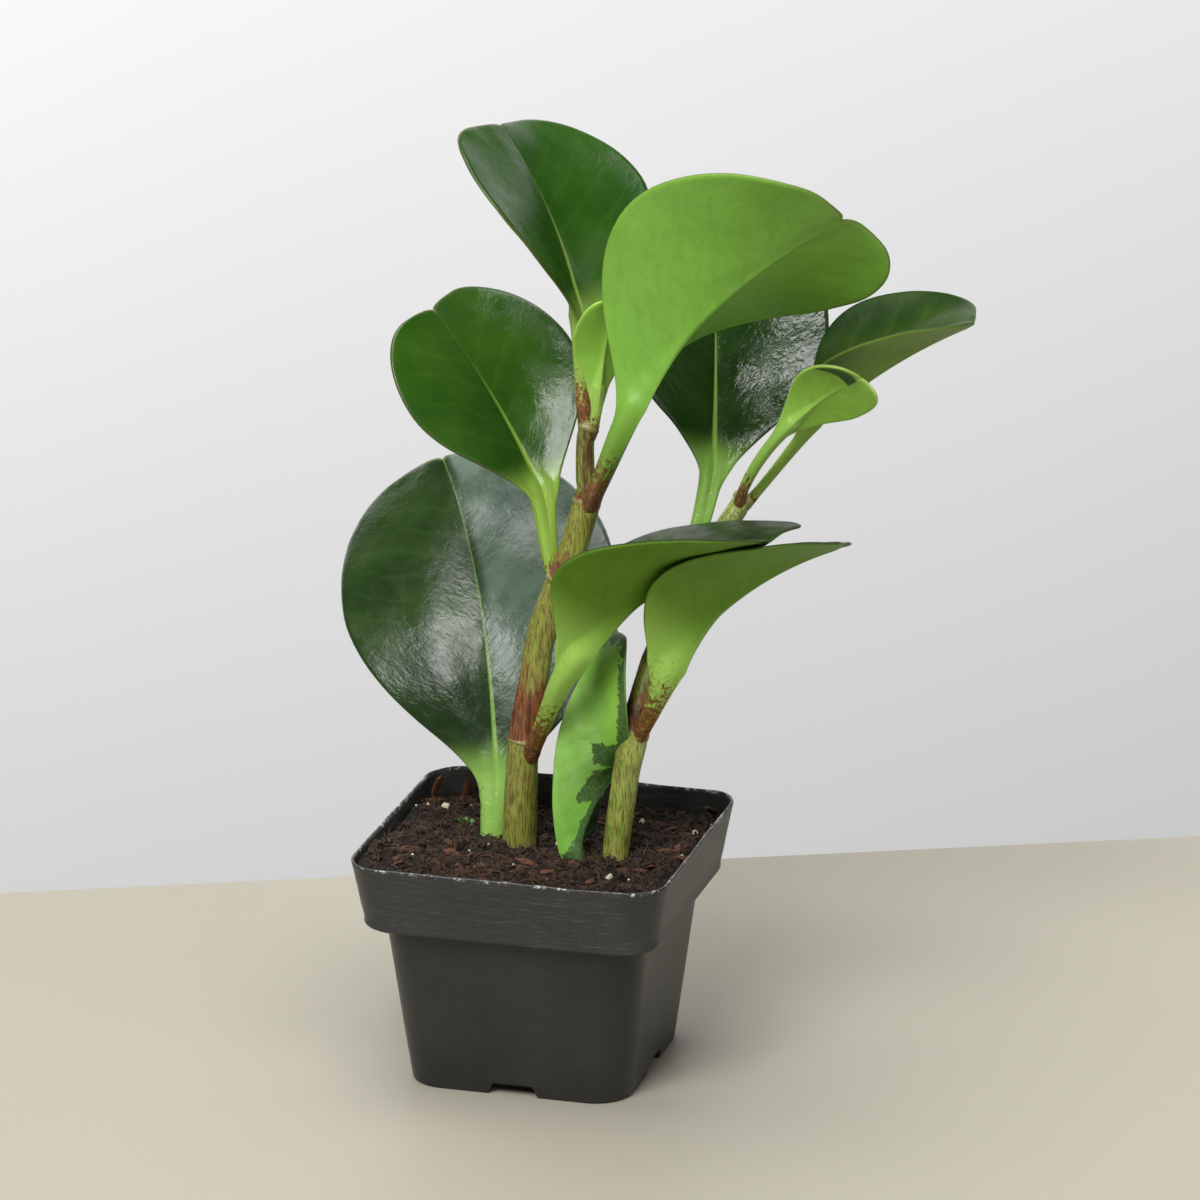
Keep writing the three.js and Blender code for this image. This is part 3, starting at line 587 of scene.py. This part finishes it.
def leaf_rings(name, leaf):
    """Rings for the whole leaf, stalk and blade in one skin, each followed by its facts. A ring runs
    over the upper side from the right margin to the left, and back underneath."""
    rib = rib_course(leaf)
    rows = outline(leaf)
    length, half_width = leaf["size"]
    mid_fold, gain, left_more = leaf["fold"]
    left_cup, right_cup = (math.radians(angle) for angle in leaf["cup"])
    foot, head = leaf["stalk"]
    head_height = STALK_HEAD_HEIGHT * head
    sink = STALK_SINK * head
    seed = sum(ord(letter) for letter in name)
    columns = [-c for c in reversed(HALF_COLUMNS)] + HALF_COLUMNS[1:]
    circuit = [(c, 1) for c in columns] + [(c, 0) for c in reversed(columns[1:-1])]
    uppers = [0.5 if abs(c) == 1 else float(u) for c, u in circuit]
    made = []

    def creased(c):
        return smooth((c - CREASE_START) / (CREASE_END - CREASE_START))

    def breadth(x, c):
        """What a half's width is multiplied by: the halves differ near the foot."""
        lean = leaf.get("lean", 0) * (smooth(1 + x / FLARE_BACK) if x < 0 else
                                      max(0.0, 1 - x / length / LEAN_REACH))
        return 1 - lean if c > 0 else 1 + lean

    def section(station, y, half, fold_share, share, lift, drop, keel, oval, upper):
        """One point of a section: y across the folded blade, and half its thickness off it. keel
        is the half width of the thick middle, and oval is 1 on the stalk and 0 on the blade."""
        centre, _, side, up = station
        left = y >= 0
        reach = abs(y)
        fold = mid_fold + gain * (share - 0.5) + (left_more if left else 0)
        fold = math.radians(min(fold, MOST_FOLD)) * fold_share
        curl = (left_cup if left else right_cup) * fold_share / half_width or 1e-6
        outward = (math.sin(fold + curl * reach) - math.sin(fold)) / curl
        rising = (math.cos(fold) - math.cos(fold + curl * reach)) / curl
        crease = math.radians(leaf.get("bend", 0)) * fold_share if left else 0
        if crease and half:
            # The crease turns the half by this much more, and is deeper towards the stalk.
            crease *= 1 + 1.7 * max(0.0, 0.5 - share)
            angles = [fold + crease * creased(reach * (step + 0.5) / CREASE_STEPS / half)
                      for step in range(CREASE_STEPS)]
            outward = sum(math.cos(angle) for angle in angles) * reach / CREASE_STEPS
            rising = sum(math.sin(angle) for angle in angles) * reach / CREASE_STEPS
            fold += crease * creased(reach / half)
        tilt = (fold + curl * reach) * smooth(reach / keel)
        margin = max(0.0, half - reach)
        t = min(1.0, margin / MARGIN_ROUND)
        bulge = max(0.0, 1 - (reach / keel) ** 2) ** mix(1.7, 0.5, oval)
        level = BLADE / 2 * math.sqrt(t * (2 - t)) + (lift if upper else drop) * bulge
        if not upper:
            level = -level
        if oval < 0.5:
            # Gentle waves in the blade, and its side veins a little sunk in the upper side
            x = share * length
            wave = 0.7 * noise.noise(Vector((x / 17 + seed, y / 15, seed)))
            wave += 0.12 * noise.noise(Vector((x / 6.5 + seed, y / 6, 3.0)))
            quilt = math.cos(2 * math.pi * (x - VEIN_SLANT * reach ** VEIN_POWER) / VEIN_STEP)
            level += smooth(reach / 7) * smooth(x / 14) * (wave + 0.02 * quilt * smooth(margin / 6))
        outward = max(outward - level * math.sin(tilt), 0.02 * reach)
        return centre + side * math.copysign(outward, y) + up * (rising + level * math.cos(tilt))

    def add_ring(points, alongs, ys, halves, travelled):
        edges = [half - abs(y) for half, y in zip(halves, ys)]
        made.append((points, alongs, ys, edges, uppers, [travelled] * len(circuit)))

    # The stalk
    middle, forward, sideways, upward = rib(0)
    root, elbow = Vector(leaf["root"]) + GROUND, Vector(leaf["elbow"]) + GROUND
    end = middle - upward * sink
    handles = [root, elbow, end - forward * (STALK_LEAD * (elbow - end).length), end]
    samples = [bezier(handles, step / STALK_SAMPLES) for step in range(STALK_SAMPLES + 1)]
    total = sum((a - b).length for a, b in zip(samples, samples[1:]))
    # The stalk's sides run on into the blade's margins in one sweep.
    meet = next(row for row, (x, _) in enumerate(rows) if x >= FLARE_AHEAD)
    (x0, y0), (x1, y1) = rows[meet - 1], rows[meet]
    back = min(FLARE_BACK, 0.6 * total)
    narrow = mix(foot, head, (1 - back / total) ** STALK_WIDENING) / 2

    def flared(x, half):
        if x <= -back or x >= x1:
            return half
        t = (x + back) / (x1 + back)
        bent = (1 - t) ** 2 * (1 + 2 * t) * narrow + t * t * (3 - 2 * t) * y1
        return bent + t * t * (t - 1) * (x1 + back) * (y1 - y0) / (x1 - x0)

    travelled, before = 0.0, root
    for row in range(STALK_ROWS):
        t = row / STALK_ROWS
        point = bezier(handles, t)
        forward = (bezier(handles, min(1.0, t + 0.01)) - bezier(handles, max(0.0, t - 0.01))).normalized()
        side = (sideways - forward * sideways.dot(forward)).normalized()
        up = forward.cross(side)
        travelled += (point - before).length
        before = point
        # The stalk's foot is a little swollen where it sits on the stem.
        swell = 1 + 0.16 * math.exp(-((travelled - 2.5) / 3) ** 2)
        keel = mix(foot, head, t ** STALK_WIDENING) * swell / 2
        thick = (STALK_FLATNESS * mix(foot, head_height, t) * swell - BLADE) / 2
        sunk = sink * smooth(t)
        along = travelled - total
        halves = [max(keel, flared(along, keel)) * breadth(along, c) for c, _ in circuit]
        ys = [c * half for half, (c, _) in zip(halves, circuit)]
        station = (point + up * sunk, forward, side, up)
        fold_share = smooth((t - 0.3) / 0.7)
        points = [section(station, y, half, fold_share, 0, thick - sunk, thick + sunk, keel, 1.0, u)
                  for y, half, (c, u) in zip(ys, halves, circuit)]
        if row == 0:
            add_ring([point.copy() for _ in circuit], [-total] * len(circuit), ys, halves, 0.0)
        add_ring(points, [along] * len(circuit), ys, halves, travelled)

    # The blade, whose midrib is thick at first and soon a mere groove above and a ridge below
    last = len(rows) - 1
    thick = (STALK_FLATNESS * head_height - BLADE) / 2
    for row, (edge_x, edge_y) in enumerate(rows):
        rib_x = length * (row / last) ** ROW_CROWDING
        wide = flared(edge_x, edge_y) if row < meet else edge_y
        points, alongs, ys, halves = [], [], [], []
        for c, u in circuit:
            x = mix(rib_x, edge_x, abs(c))
            share = x / length
            half = wide * breadth(x, c)
            fading = min(1.0, share / RIB_REACH)
            keel = max(mix(head / 2, 0.16 * head, smooth(fading) ** 0.8), 0.8)
            lift = max(0.0, thick - sink) * (1 - smooth(fading * 1.6))
            lift = mix(lift, -0.22, smooth(fading * 2) * (1 - 0.8 * share))
            drop = (thick + sink) * (1 - fading) ** 1.3 + 0.45 * smooth(fading) * (1 - share)
            oval = 1 - smooth(share / 0.06)
            points.append(section(rib(share), half * c, half, 1.0, share, lift, drop, keel, oval, u))
            alongs.append(x)
            ys.append(half * c)
            halves.append(half)
        if row == last:
            points = [points[0].copy() for _ in circuit]
        add_ring(points, alongs, ys, halves, total + edge_x)
    return zip(*made)


def make_leaf(name, leaf, material):
    rings, *facts = leaf_rings(name, leaf)
    piece = sleeve(name + "_skin", rings, dict(zip(LEAF_FACTS, facts)))
    finish(piece, name, material)


# ---------- stems in shape ----------

STEM_SIDES = 36
ROWS_PER_MM = 0.9
# A low dome closes a stem's top: each step's share of the width, and of the dome's height
DOME = ((0.8, 0.5), (0.45, 0.85), (0.0, 1.0))
DOME_HEIGHT = 0.35


def spline(points, t):
    """A smooth curve through the points, evenly spaced in t."""
    place = t * (len(points) - 1)
    below = min(int(place), len(points) - 2)
    u = place - below
    p1, p2 = points[below], points[below + 1]
    p0 = points[below - 1] if below > 0 else p1 * 2 - p2
    p3 = points[below + 2] if below + 2 < len(points) else p2 * 2 - p1
    return 0.5 * (2 * p1 + (p2 - p0) * u + (2 * p0 - 5 * p1 + 4 * p2 - p3) * u ** 2
                  + (3 * p1 - p0 - 3 * p2 + p3) * u ** 3)


def make_stem(name, table, nodes, material):
    points = [Vector((x, y, z)) + GROUND for x, y, z, _ in table]
    widths = [width for *_, width in table]
    count = int(ROWS_PER_MM * sum((a - b).length for a, b in zip(points, points[1:])))
    made = []
    for row in range(count + 1):
        t = row / count
        centre = spline(points, t)
        along = (spline(points, min(1, t + 0.004)) - spline(points, max(0, t - 0.004))).normalized()
        side = Vector((1, 0, 0))
        side = (side - along * side.dot(along)).normalized()
        up = along.cross(side)
        height = centre.z - SOIL_LEVEL
        radius = spline(widths, t) / 2
        # Red-brown starts at a node and fades out above it.
        red = max(smooth((height - node - 0.5) / 1.6) * smooth((node + reach - height) / reach)
                  for node, reach in nodes)
        young = smooth((height - TOP_PART) / 3) if name == "stem_left" else 0.0
        ring, scars = [], []
        for s in range(STEM_SIDES):
            angle = 2 * math.pi * s / STEM_SIDES
            tilt = 1.1 * math.sin(angle + nodes[0][0])
            away = min(abs(height - node - tilt) for node, _ in nodes)
            scar = math.exp(-(away / 0.8) ** 2)
            bumps = 0.1 * math.cos(5 * angle + height / 30) + 0.07 * math.cos(9 * angle - height / 21)
            bumps += 0.16 * noise.noise(Vector((math.cos(angle) * 1.4, math.sin(angle) * 1.4, height / 5)))
            reach = radius + bumps + 0.28 * scar - 0.16 * math.exp(-((away - 1.3) / 0.5) ** 2)
            ring.append(centre + (side * math.cos(angle) + up * math.sin(angle)) * reach)
            scars.append(scar)
        steps = [(1.0, 0.0)]
        if row == 0:
            steps = [(0.0, 0.0)] + steps
        if row == count:
            steps += DOME
        for share, rise in steps:
            top = centre + along * (rise * radius * DOME_HEIGHT)
            step_ring = [top + (point - centre) * share for point in ring]
            made.append((step_ring, [red] * STEM_SIDES, scars, [young] * STEM_SIDES))
    rings, *facts = zip(*made)
    finish(sleeve(name + "_skin", rings, dict(zip(("blush", "scar", "top"), facts))), name, material)


# ---------- pot in shape ----------


def inner_width(z):
    if z >= COLLAR_FOOT + WALL:
        share = (z - COLLAR_FOOT) / (POT_HEIGHT - COLLAR_FOOT)
        return mix(COLLAR_FOOT_WIDTH, POT_WIDTH, share) - 2 * WALL
    return mix(BASE_WIDTH, BODY_TOP_WIDTH, z / COLLAR_FOOT) - 2 * WALL


# The pot's outline as (width, height, corner radius), from its underside up and over the rim, and
# down its inner wall
POT_PROFILE = [
    (70, 0, 11.2), (71.1, 0.25, 11.8), (71.6, 0.9, 12), (76.2, 20, 12), (80.3, 38, 12), (84.1, 54, 12),
    (84.5, 54.7, 12), (93.6, 54.5, 11.6), (94.7, 54.8, 12), (95.2, 55.4, 12), (95.2, 56.1, 12),
    (94.9, 56.6, 12), (96.8, 61.5, 12), (98.5, 67, 12), (100.2, 72, 12), (101.2, 74.8, 12),
    (101.6, 75.7, 12), (101.6, 76.2, 12), (101.2, 76.5, 11.8), (100.3, 76.5, 11.3), (99.7, 76.2, 11),
    (99.2, 75.2, 10.7), (97, 68, 10.7), (93, 56.4, 10.7), (82.2, 56.1, 10.7), (81.2, 50, 10.7),
    (74, 18, 10.7), (69.6, 2.4, 10.7),
]
CORNER_STEPS = 9
SIDE_CUTS = 14
LONG_EDGE = 20
NOTCH_ROUND = 0.9
# The collar's upper part bends in and out, and up and down, by this much
BEND_FOOT = 57
BEND = 0.5
MOST_LIFT = 0.12


def resize_ring(pot, before, after):
    """The selected ring goes from one width and corner radius to another."""
    (wide, _, corner), (new_wide, _, new_corner) = before, after
    inset, new_inset = wide / 2 - corner, new_wide / 2 - new_corner
    mesh = bmesh.from_edit_mesh(pot.data)
    for vertex in mesh.verts:
        if vertex.select:
            for axis in (0, 1):
                place = abs(vertex.co[axis]) / MM
                if place > inset:
                    place = new_inset + (place - inset) * new_corner / corner
                else:
                    place *= new_inset / inset
                vertex.co[axis] = math.copysign(place * MM, vertex.co[axis])
    bmesh.update_edit_mesh(pot.data)


def cut_notch(pot, turn):
    """A drain notch in the foot of one wall, narrower at its top."""
    unselect()
    reach = (NOTCH_DEPTH + 4) * MM
    bpy.ops.mesh.primitive_cube_add(size=1)
    cutter = bpy.context.object
    cutter.scale = (NOTCH_FOOT_WIDTH * MM, reach, 2 * NOTCH_HEIGHT * MM)
    for vertex in cutter.data.vertices:
        vertex.co.x *= 1 + math.copysign(1 - NOTCH_TOP_WIDTH / NOTCH_FOOT_WIDTH, -vertex.co.z)
    cutter.location = Matrix.Rotation(turn, 3, "Z") @ Vector(
        (0, (NOTCH_DEPTH - BASE_WIDTH / 2) * MM - reach / 2, 0))
    cutter.rotation_euler = (0, 0, turn)
    bpy.ops.object.transform_apply(location=True, rotation=True, scale=True)
    edit_all()
    bpy.ops.mesh.bevel(offset=NOTCH_ROUND * MM, segments=3)
    unselect()
    bpy.context.view_layer.objects.active = pot
    pot.select_set(True)
    cut = pot.modifiers.new("notch", "BOOLEAN")
    cut.operation = "DIFFERENCE"
    cut.solver = "EXACT"
    cut.object = cutter
    bpy.ops.object.modifier_apply(modifier="notch")
    bpy.data.objects.remove(cutter, do_unlink=True)


def make_pot():
    """A plate with rounded corners is pulled up through the profile, sized at each step."""
    unselect()
    width, _, corner = POT_PROFILE[0]
    bpy.ops.mesh.primitive_plane_add(size=width * MM)
    pot = bpy.context.object
    pot.name = "pot_shell"
    edit_all()
    bpy.ops.mesh.bevel(offset=corner * MM, segments=CORNER_STEPS, affect="VERTICES")
    # The four straight sides are cut up, so that they can bend.
    bpy.ops.mesh.select_all(action="DESELECT")
    bpy.ops.mesh.select_mode(type="EDGE")
    for edge in bmesh.from_edit_mesh(pot.data).edges:
        edge.select_set(edge.calc_length() > LONG_EDGE * MM)
    bpy.ops.mesh.subdivide(number_cuts=SIDE_CUTS)
    bpy.ops.mesh.select_mode(type="FACE")
    bpy.ops.mesh.select_all(action="SELECT")
    for before, after in zip(POT_PROFILE, POT_PROFILE[1:]):
        climb = (0, 0, (after[1] - before[1]) * MM)
        bpy.ops.mesh.extrude_region_move(TRANSFORM_OT_translate={"value": climb})
        resize_ring(pot, before, after)
    bpy.ops.mesh.select_all(action="SELECT")
    bpy.ops.mesh.normals_make_consistent(inside=False)
    mode("OBJECT")
    for side in range(4):
        cut_notch(pot, side * math.pi / 2)

    # The thin rim isn't quite straight.
    for vertex in pot.data.vertices:
        point = vertex.co / MM
        if point.z > BEND_FOOT:
            share = (point.z - BEND_FOOT) / (POT_HEIGHT - BEND_FOOT)
            shift = BEND * share ** 2 * noise.noise(Vector((point.x / 16, point.y / 16, 7.0)))
            lift = BEND * share ** 3 * noise.noise(Vector((point.x / 11, point.y / 11, 2.0)))
            away = Vector((point.x, point.y, 0)).normalized()
            vertex.co = (point + away * shift + Vector((0, 0, min(lift, MOST_LIFT)))) * MM
    unselect()
    pot.select_set(True)
    bpy.ops.object.shade_smooth_by_angle(angle=math.radians(38))
    finish(pot, "pot", pot_finish())


# ---------- soil and what lies on it ----------

SOIL_ROWS = 54
CRUMBS = 4800
LARGE_CRUMBS = 210
CHIPS = 80
SMALL_GRAINS = 16
FIBRES = 700
FIBRE_STEPS = 7
SEEDLINGS = 16
# Larger chips, one of them standing against the left wall and one against the back wall. Each is
# [x, y, height above the soil, size, how far it stands up].
PLACED_CHIPS = [
    (-45.5, 34, 4.5, 4.2, 1.2), (-38, 43, 3.5, 4.6, 1.4), (-11.8, -28.5, 1, 3.4, 0.2),
    (0.9, -22, 1, 3.6, 0.3), (9, -18, 1, 3, 0.2), (39, -14, 1, 3.2, 0.4), (42, 46, 1.5, 3.6, 0.6),
    (46, -1.5, 1, 3, 0.3),
]
# Larger pale grains, as [x, y, size]
PLACED_GRAINS = [
    (-39, 22, 1.5), (-35, 36, 0.9), (3.6, 4.4, 1.2), (28.9, -27.3, 1.2), (22.7, 33.2, 1.1), (41.9, 26.8, 1.0),
    (2, 8.8, 0.7), (-19.9, -15.6, 0.6), (-32.8, -34.4, 0.7),
]


def soil_height(x, y):
    slope = -SOIL_FRONT_RISE * y if y < 0 else -SOIL_BACK_FALL * y
    lumps = sum(height * noise.noise(Vector((x / size, y / size, level)))
                for height, size, level in ((1.5, 9, 1.0), (0.9, 3.6, 4.0), (0.5, 1.5, 9.0)))
    # It is heaped against the left wall.
    heap = 3.0 * smooth((-x - 18) / 26) * smooth((44 - y) / 26)
    return min(SOIL_LEVEL + slope + lumps + heap, POT_HEIGHT - 1.2 + 0.3 * lumps)


def on_soil(x, y, height):
    return Vector((x, y, soil_height(x, y) + height))


def square_ring(width, corner, z, arc=8, straight=30):
    """A square ring with rounded corners, of 4 * (arc + straight) points."""
    ring = []
    inset = width / 2 - corner
    for quarter in range(4):
        turn = Matrix.Rotation(quarter * math.pi / 2, 3, "Z")
        for step in range(arc):
            angle = math.pi / 2 * step / arc
            x, y = inset + corner * math.cos(angle), inset + corner * math.sin(angle)
            ring.append(turn @ Vector((x, y, z)))
        for step in range(straight):
            ring.append(turn @ Vector((inset - 2 * inset * step / straight, inset + corner, z)))
    return ring


def make_soil(material):
    corner = POT_CORNER - WALL - GAP
    ledge = COLLAR_FOOT + WALL + GAP
    top_width = inner_width(SOIL_LEVEL) - 2 * GAP
    rings = [square_ring(0.001, 0.0, FLOOR + GAP)]
    for wall_height, z in ((FLOOR, FLOOR + GAP), (COLLAR_FOOT, ledge), (ledge, ledge)):
        rings.append(square_ring(inner_width(wall_height) - 2 * GAP, corner, z))
    edge = []
    for point in square_ring(top_width, corner, 0):
        z = soil_height(point.x, point.y) - 0.8
        wide = (inner_width(z) - 2 * GAP) / top_width
        edge.append(Vector((point.x * wide, point.y * wide, z)))
    rings.append(edge)
    for step in range(1, SOIL_ROWS + 1):
        share = 1 - step / SOIL_ROWS
        ring = square_ring(top_width * share, corner * share, 0)
        rings.append([on_soil(point.x, point.y, 0) for point in ring])
    facts = {"tone": [[0.0] * len(ring) for ring in rings]}
    finish(sleeve("soil_bed", rings, facts), "soil", material)


def lump_shapes(rng, count, detail, rough, squash):
    """Small lumps, each of them a ball of triangles pushed in and out."""
    shapes = []
    for _ in range(count):
        unselect()
        bpy.ops.mesh.primitive_ico_sphere_add(subdivisions=detail, radius=1)
        lump = bpy.context.object
        faces = [tuple(face.vertices) for face in lump.data.polygons]
        shift = Vector((rng.uniform(0, 50), rng.uniform(0, 50), rng.uniform(0, 50)))
        points = []
        for vertex in lump.data.vertices:
            x, y, z = vertex.co * (1 + rough * noise.noise(vertex.co * 1.7 + shift))
            points.append(Vector((x, y * squash[0], z * squash[1])))
        bpy.data.objects.remove(lump, do_unlink=True)
        shapes.append((points, faces))
    return shapes


def make_litter(name, points, faces, tones, material):
    """A piece made of many small loose bits, each with its own tone."""
    mesh = bpy.data.meshes.new(name)
    mesh.from_pydata([tuple(point * MM) for point in points], [], faces)
    mesh.attributes.new("tone", "FLOAT", "POINT").data.foreach_set("value", tones)
    finish(new_object(name, mesh), "soil", material)


def scatter(name, shapes, places, material):
    """Copies of the shapes, joined in one piece. A place is (shape, turn, size, point, tone)."""
    points, faces, tones = [], [], []
    for which, turn, size, centre, tone in places:
        shape, sides = shapes[which]
        first = len(points)
        points.extend(turn @ (point * size) + centre for point in shape)
        faces.extend(tuple(first + corner for corner in side) for side in sides)
        tones.extend([tone] * len(shape))
    make_litter(name, points, faces, tones, material)


def any_turn(rng):
    return Quaternion([rng.gauss(0, 1) for _ in range(4)]).normalized()


def flat_turn(rng, tip):
    return Quaternion((0, 0, 1), rng.uniform(0, 2 * math.pi)) @ Quaternion((1, 0, 0), rng.gauss(0, tip))


def soil_spot(rng, margin):
    """A random place on the soil inside the pot's wall."""
    half = inner_width(SOIL_LEVEL) / 2 - margin
    corner = POT_CORNER - WALL
    while True:
        x, y = rng.uniform(-half, half), rng.uniform(-half, half)
        out_x, out_y = abs(x) - (half - corner), abs(y) - (half - corner)
        if min(out_x, out_y) <= 0 or math.hypot(out_x, out_y) <= corner - margin:
            return x, y


def make_crumbs(material):
    rng = random.Random(3)
    shapes = lump_shapes(rng, 6, 1, 0.9, (0.8, 0.7)) + lump_shapes(rng, 5, 2, 0.9, (0.85, 0.7))
    places = []
    for index in range(CRUMBS):
        large = index < LARGE_CRUMBS
        size = rng.uniform(1.2, 2.5) if large else rng.uniform(0.25, 1.0)
        spot = on_soil(*soil_spot(rng, size + 0.2), size * rng.uniform(-0.3, 0.45))
        which = rng.randrange(6, 11) if large else rng.randrange(6)
        places.append((which, any_turn(rng), size, spot, rng.random()))
    scatter("soil_crumbs", shapes, places, material)


def make_chips(material):
    rng = random.Random(8)
    shapes = lump_shapes(rng, 6, 2, 0.5, (0.45, 0.2))
    places = []
    for _ in range(CHIPS):
        size = rng.uniform(1.0, 3.2)
        spot = on_soil(*soil_spot(rng, size), 0.5)
        places.append((rng.randrange(6), flat_turn(rng, 0.5), size, spot, rng.random()))
    for x, y, height, size, stand in PLACED_CHIPS:
        turn = Quaternion((0, 0, 1), rng.uniform(0, 3)) @ Quaternion((0, 1, 0), stand)
        places.append((rng.randrange(6), turn, size, on_soil(x, y, height), rng.uniform(0.5, 1)))
    scatter("bark_chips", shapes, places, material)


def make_grains(material):
    rng = random.Random(5)
    shapes = lump_shapes(rng, 4, 2, 0.45, (0.9, 0.8))
    small = [(*soil_spot(rng, 1), rng.uniform(0.3, 0.6)) for _ in range(SMALL_GRAINS)]
    places = [(rng.randrange(4), any_turn(rng), size, on_soil(x, y, 0.6 * size + 0.4), rng.random())
              for x, y, size in PLACED_GRAINS + small]
    scatter("pale_grains", shapes, places, material)


def make_fibres(material):
    """Root hairs and peat fibres: thin bent threads that lie on the soil, the first a long one."""
    rng = random.Random(21)
    reach = inner_width(SOIL_LEVEL) / 2 - 1.2
    points, faces, tones = [], [], []
    for index in range(FIBRES):
        x, y = soil_spot(rng, 1.5)
        heading = rng.uniform(0, 2 * math.pi)
        step_length = (rng.uniform(3, 12) if index else 22) / FIBRE_STEPS
        thick = rng.uniform(0.08, 0.2)
        bend = rng.gauss(0, 0.28)
        hop = rng.uniform(0.3, 2.0)
        tones.extend([rng.random()] * (4 * (FIBRE_STEPS + 1)))
        first = len(points)
        for step in range(FIBRE_STEPS + 1):
            t = step / FIBRE_STEPS
            spot = on_soil(x, y, 0.35 + hop * math.sin(math.pi * t))
            radius = thick * (1 - 0.6 * t)
            across = Vector((-math.sin(heading), math.cos(heading), 0)) * radius
            upward = Vector((0, 0, radius))
            points += [spot + across, spot + upward, spot - across, spot - upward]
            x = max(-reach, min(reach, x + math.cos(heading) * step_length))
            y = max(-reach, min(reach, y + math.sin(heading) * step_length))
            heading += bend + rng.gauss(0, 0.25)
        for step in range(FIBRE_STEPS):
            for corner in range(4):
                a, b = first + step * 4 + corner, first + step * 4 + (corner + 1) % 4
                faces.append((a, b, b + 4, a + 4))
        faces.append((first + 3, first + 2, first + 1, first))
        last = first + FIBRE_STEPS * 4
        faces.append((last, last + 1, last + 2, last + 3))
    make_litter("soil_fibres", points, faces, tones, material)


def make_sprout(material):
    """A tuft of tiny seedlings that has come up on the left of the soil."""
    rng = random.Random(13)
    shapes = lump_shapes(rng, 3, 2, 0.3, (0.6, 0.16))
    places = []
    for _ in range(SEEDLINGS):
        x, y = -29.9 + rng.gauss(0, 2.0), 14.4 + rng.gauss(0, 1.4)
        spot = on_soil(x, y, rng.uniform(0.6, 2.2))
        places.append((rng.randrange(3), flat_turn(rng, 0.7), rng.uniform(0.6, 1.2), spot, rng.random()))
    scatter("seedlings", shapes, places, material)


# ---------- studio ----------

# The table's far edge: a point on it, and how far it turns to the left
EDGE_POINT = (-0.0293, 0.1764, 0)
EDGE_TURN = math.atan2(164.9, 375.9)


def make_camera():
    data = bpy.data.cameras.new("camera")
    data.lens = CAMERA_LENS
    data.clip_end = 20
    camera = new_object("camera", data)
    turn = Matrix.Rotation(CAMERA_HEADING, 4, "Z") @ Matrix.Rotation(math.pi / 2 - CAMERA_RISE, 4, "X")
    camera.matrix_world = turn @ Matrix.Translation(Vector((AIM_RIGHT, AIM_HEIGHT, CAMERA_DISTANCE)) * MM)
    bpy.context.scene.camera = camera


def make_sheet(name, size, place, paint, grain, tone):
    """A flat sheet of an almost even colour, placed from the table's far edge."""
    bpy.ops.mesh.primitive_plane_add(size=size)
    sheet = bpy.context.object
    sheet.name = name
    edge = Matrix.Translation(EDGE_POINT) @ Matrix.Rotation(EDGE_TURN, 4, "Z")
    sheet.matrix_world = edge @ place
    lighter = tuple(level + 3 for level in tone)
    sheet.data.materials.append(paint.surface(paint.blend(paint.cloud(grain, 2.0), tone, lighter)))
    return sheet


def make_panel(name, place, aim, size, power):
    data = bpy.data.lights.new(name, "AREA")
    data.shape = "RECTANGLE"
    data.size, data.size_y = size
    data.energy = power
    light = new_object(name, data)
    light.location = place
    light.rotation_euler = (Vector(aim) - Vector(place)).to_track_quat("-Z", "Y").to_euler()


def make_studio():
    """A pale table that ends behind the plant, a paler wall some way behind it, and soft light from
    a long panel overhead and a lower one in front."""
    unselect()
    table = make_sheet("table", 5, Matrix.Translation((0, -2.5, 0)), Finish("table", 0.55, 0.3), 300,
                       (164, 159, 144))
    upright = Matrix.Translation((0.55, 1.3, -0.4)) @ Matrix.Rotation(math.pi / 2, 4, "X")
    wall = make_sheet("wall", 3.4, upright, Finish("wall", 0.9, 0.1), 400, (234, 234, 234))

    world = bpy.data.worlds.new("studio air")
    bpy.context.scene.world = world
    world.use_nodes = True
    world.node_tree.nodes["Background"].inputs["Color"].default_value = (1, 1, 1, 1)
    world.node_tree.nodes["Background"].inputs["Strength"].default_value = 0.1
    make_panel("overhead_panel", (0.0, 0.1, 1.9), (0.0, 0.11, 0), (0.9, 1.3), 24)
    make_panel("key_panel", (-0.24, -1.7, 1.85), (0.02, 0, 0.14), (1.15, 1.15), 64)
    make_panel("fill_panel", (1.63, -0.94, 0.85), (0.02, 0, 0.14), (1.2, 1.2), 7.5)
    make_panel("left_wall_panel", (-1.3, 0.45, 0.7), (-1.3, 1.45, 0.3), (0.8, 0.8), 13)
    make_panel("right_wall_panel", (0.3, 0.8, 1.0), (0.1, 1.8, 0.3), (0.5, 0.5), 6)
    bpy.context.scene.view_settings.view_transform = "Standard"


# ---------- the whole plant ----------

make_camera()
make_studio()
finishes = {look: leaf_finish(look) for look in LOOKS}
for name, leaf in LEAVES.items():
    make_leaf(name, leaf, finishes[leaf["look"]])
make_stem("stem_left", LEFT_STEM, LEFT_NODES, stem_finish("old stem", (124, 128, 52), (142, 142, 66)))
make_stem("stem_right", RIGHT_STEM, RIGHT_NODES, stem_finish("young stem", (122, 140, 58), (150, 160, 76)))
make_pot()
make_soil(soil_finish("peat", (17, 13, 10), (42, 31, 24), (62, 47, 35)))
make_crumbs(soil_finish("peat crumbs", (16, 12, 10), (58, 43, 32), (84, 62, 46)))
make_chips(soil_finish("bark", (48, 29, 21), (98, 62, 45), (118, 82, 58)))
make_grains(soil_finish("pale grain", (190, 180, 150), (226, 218, 192), (236, 230, 210)))
make_fibres(soil_finish("root fibre", (36, 26, 19), (92, 68, 49), (116, 88, 64)))
make_sprout(soil_finish("sprout", (50, 72, 34), (104, 132, 76), (120, 146, 90)))
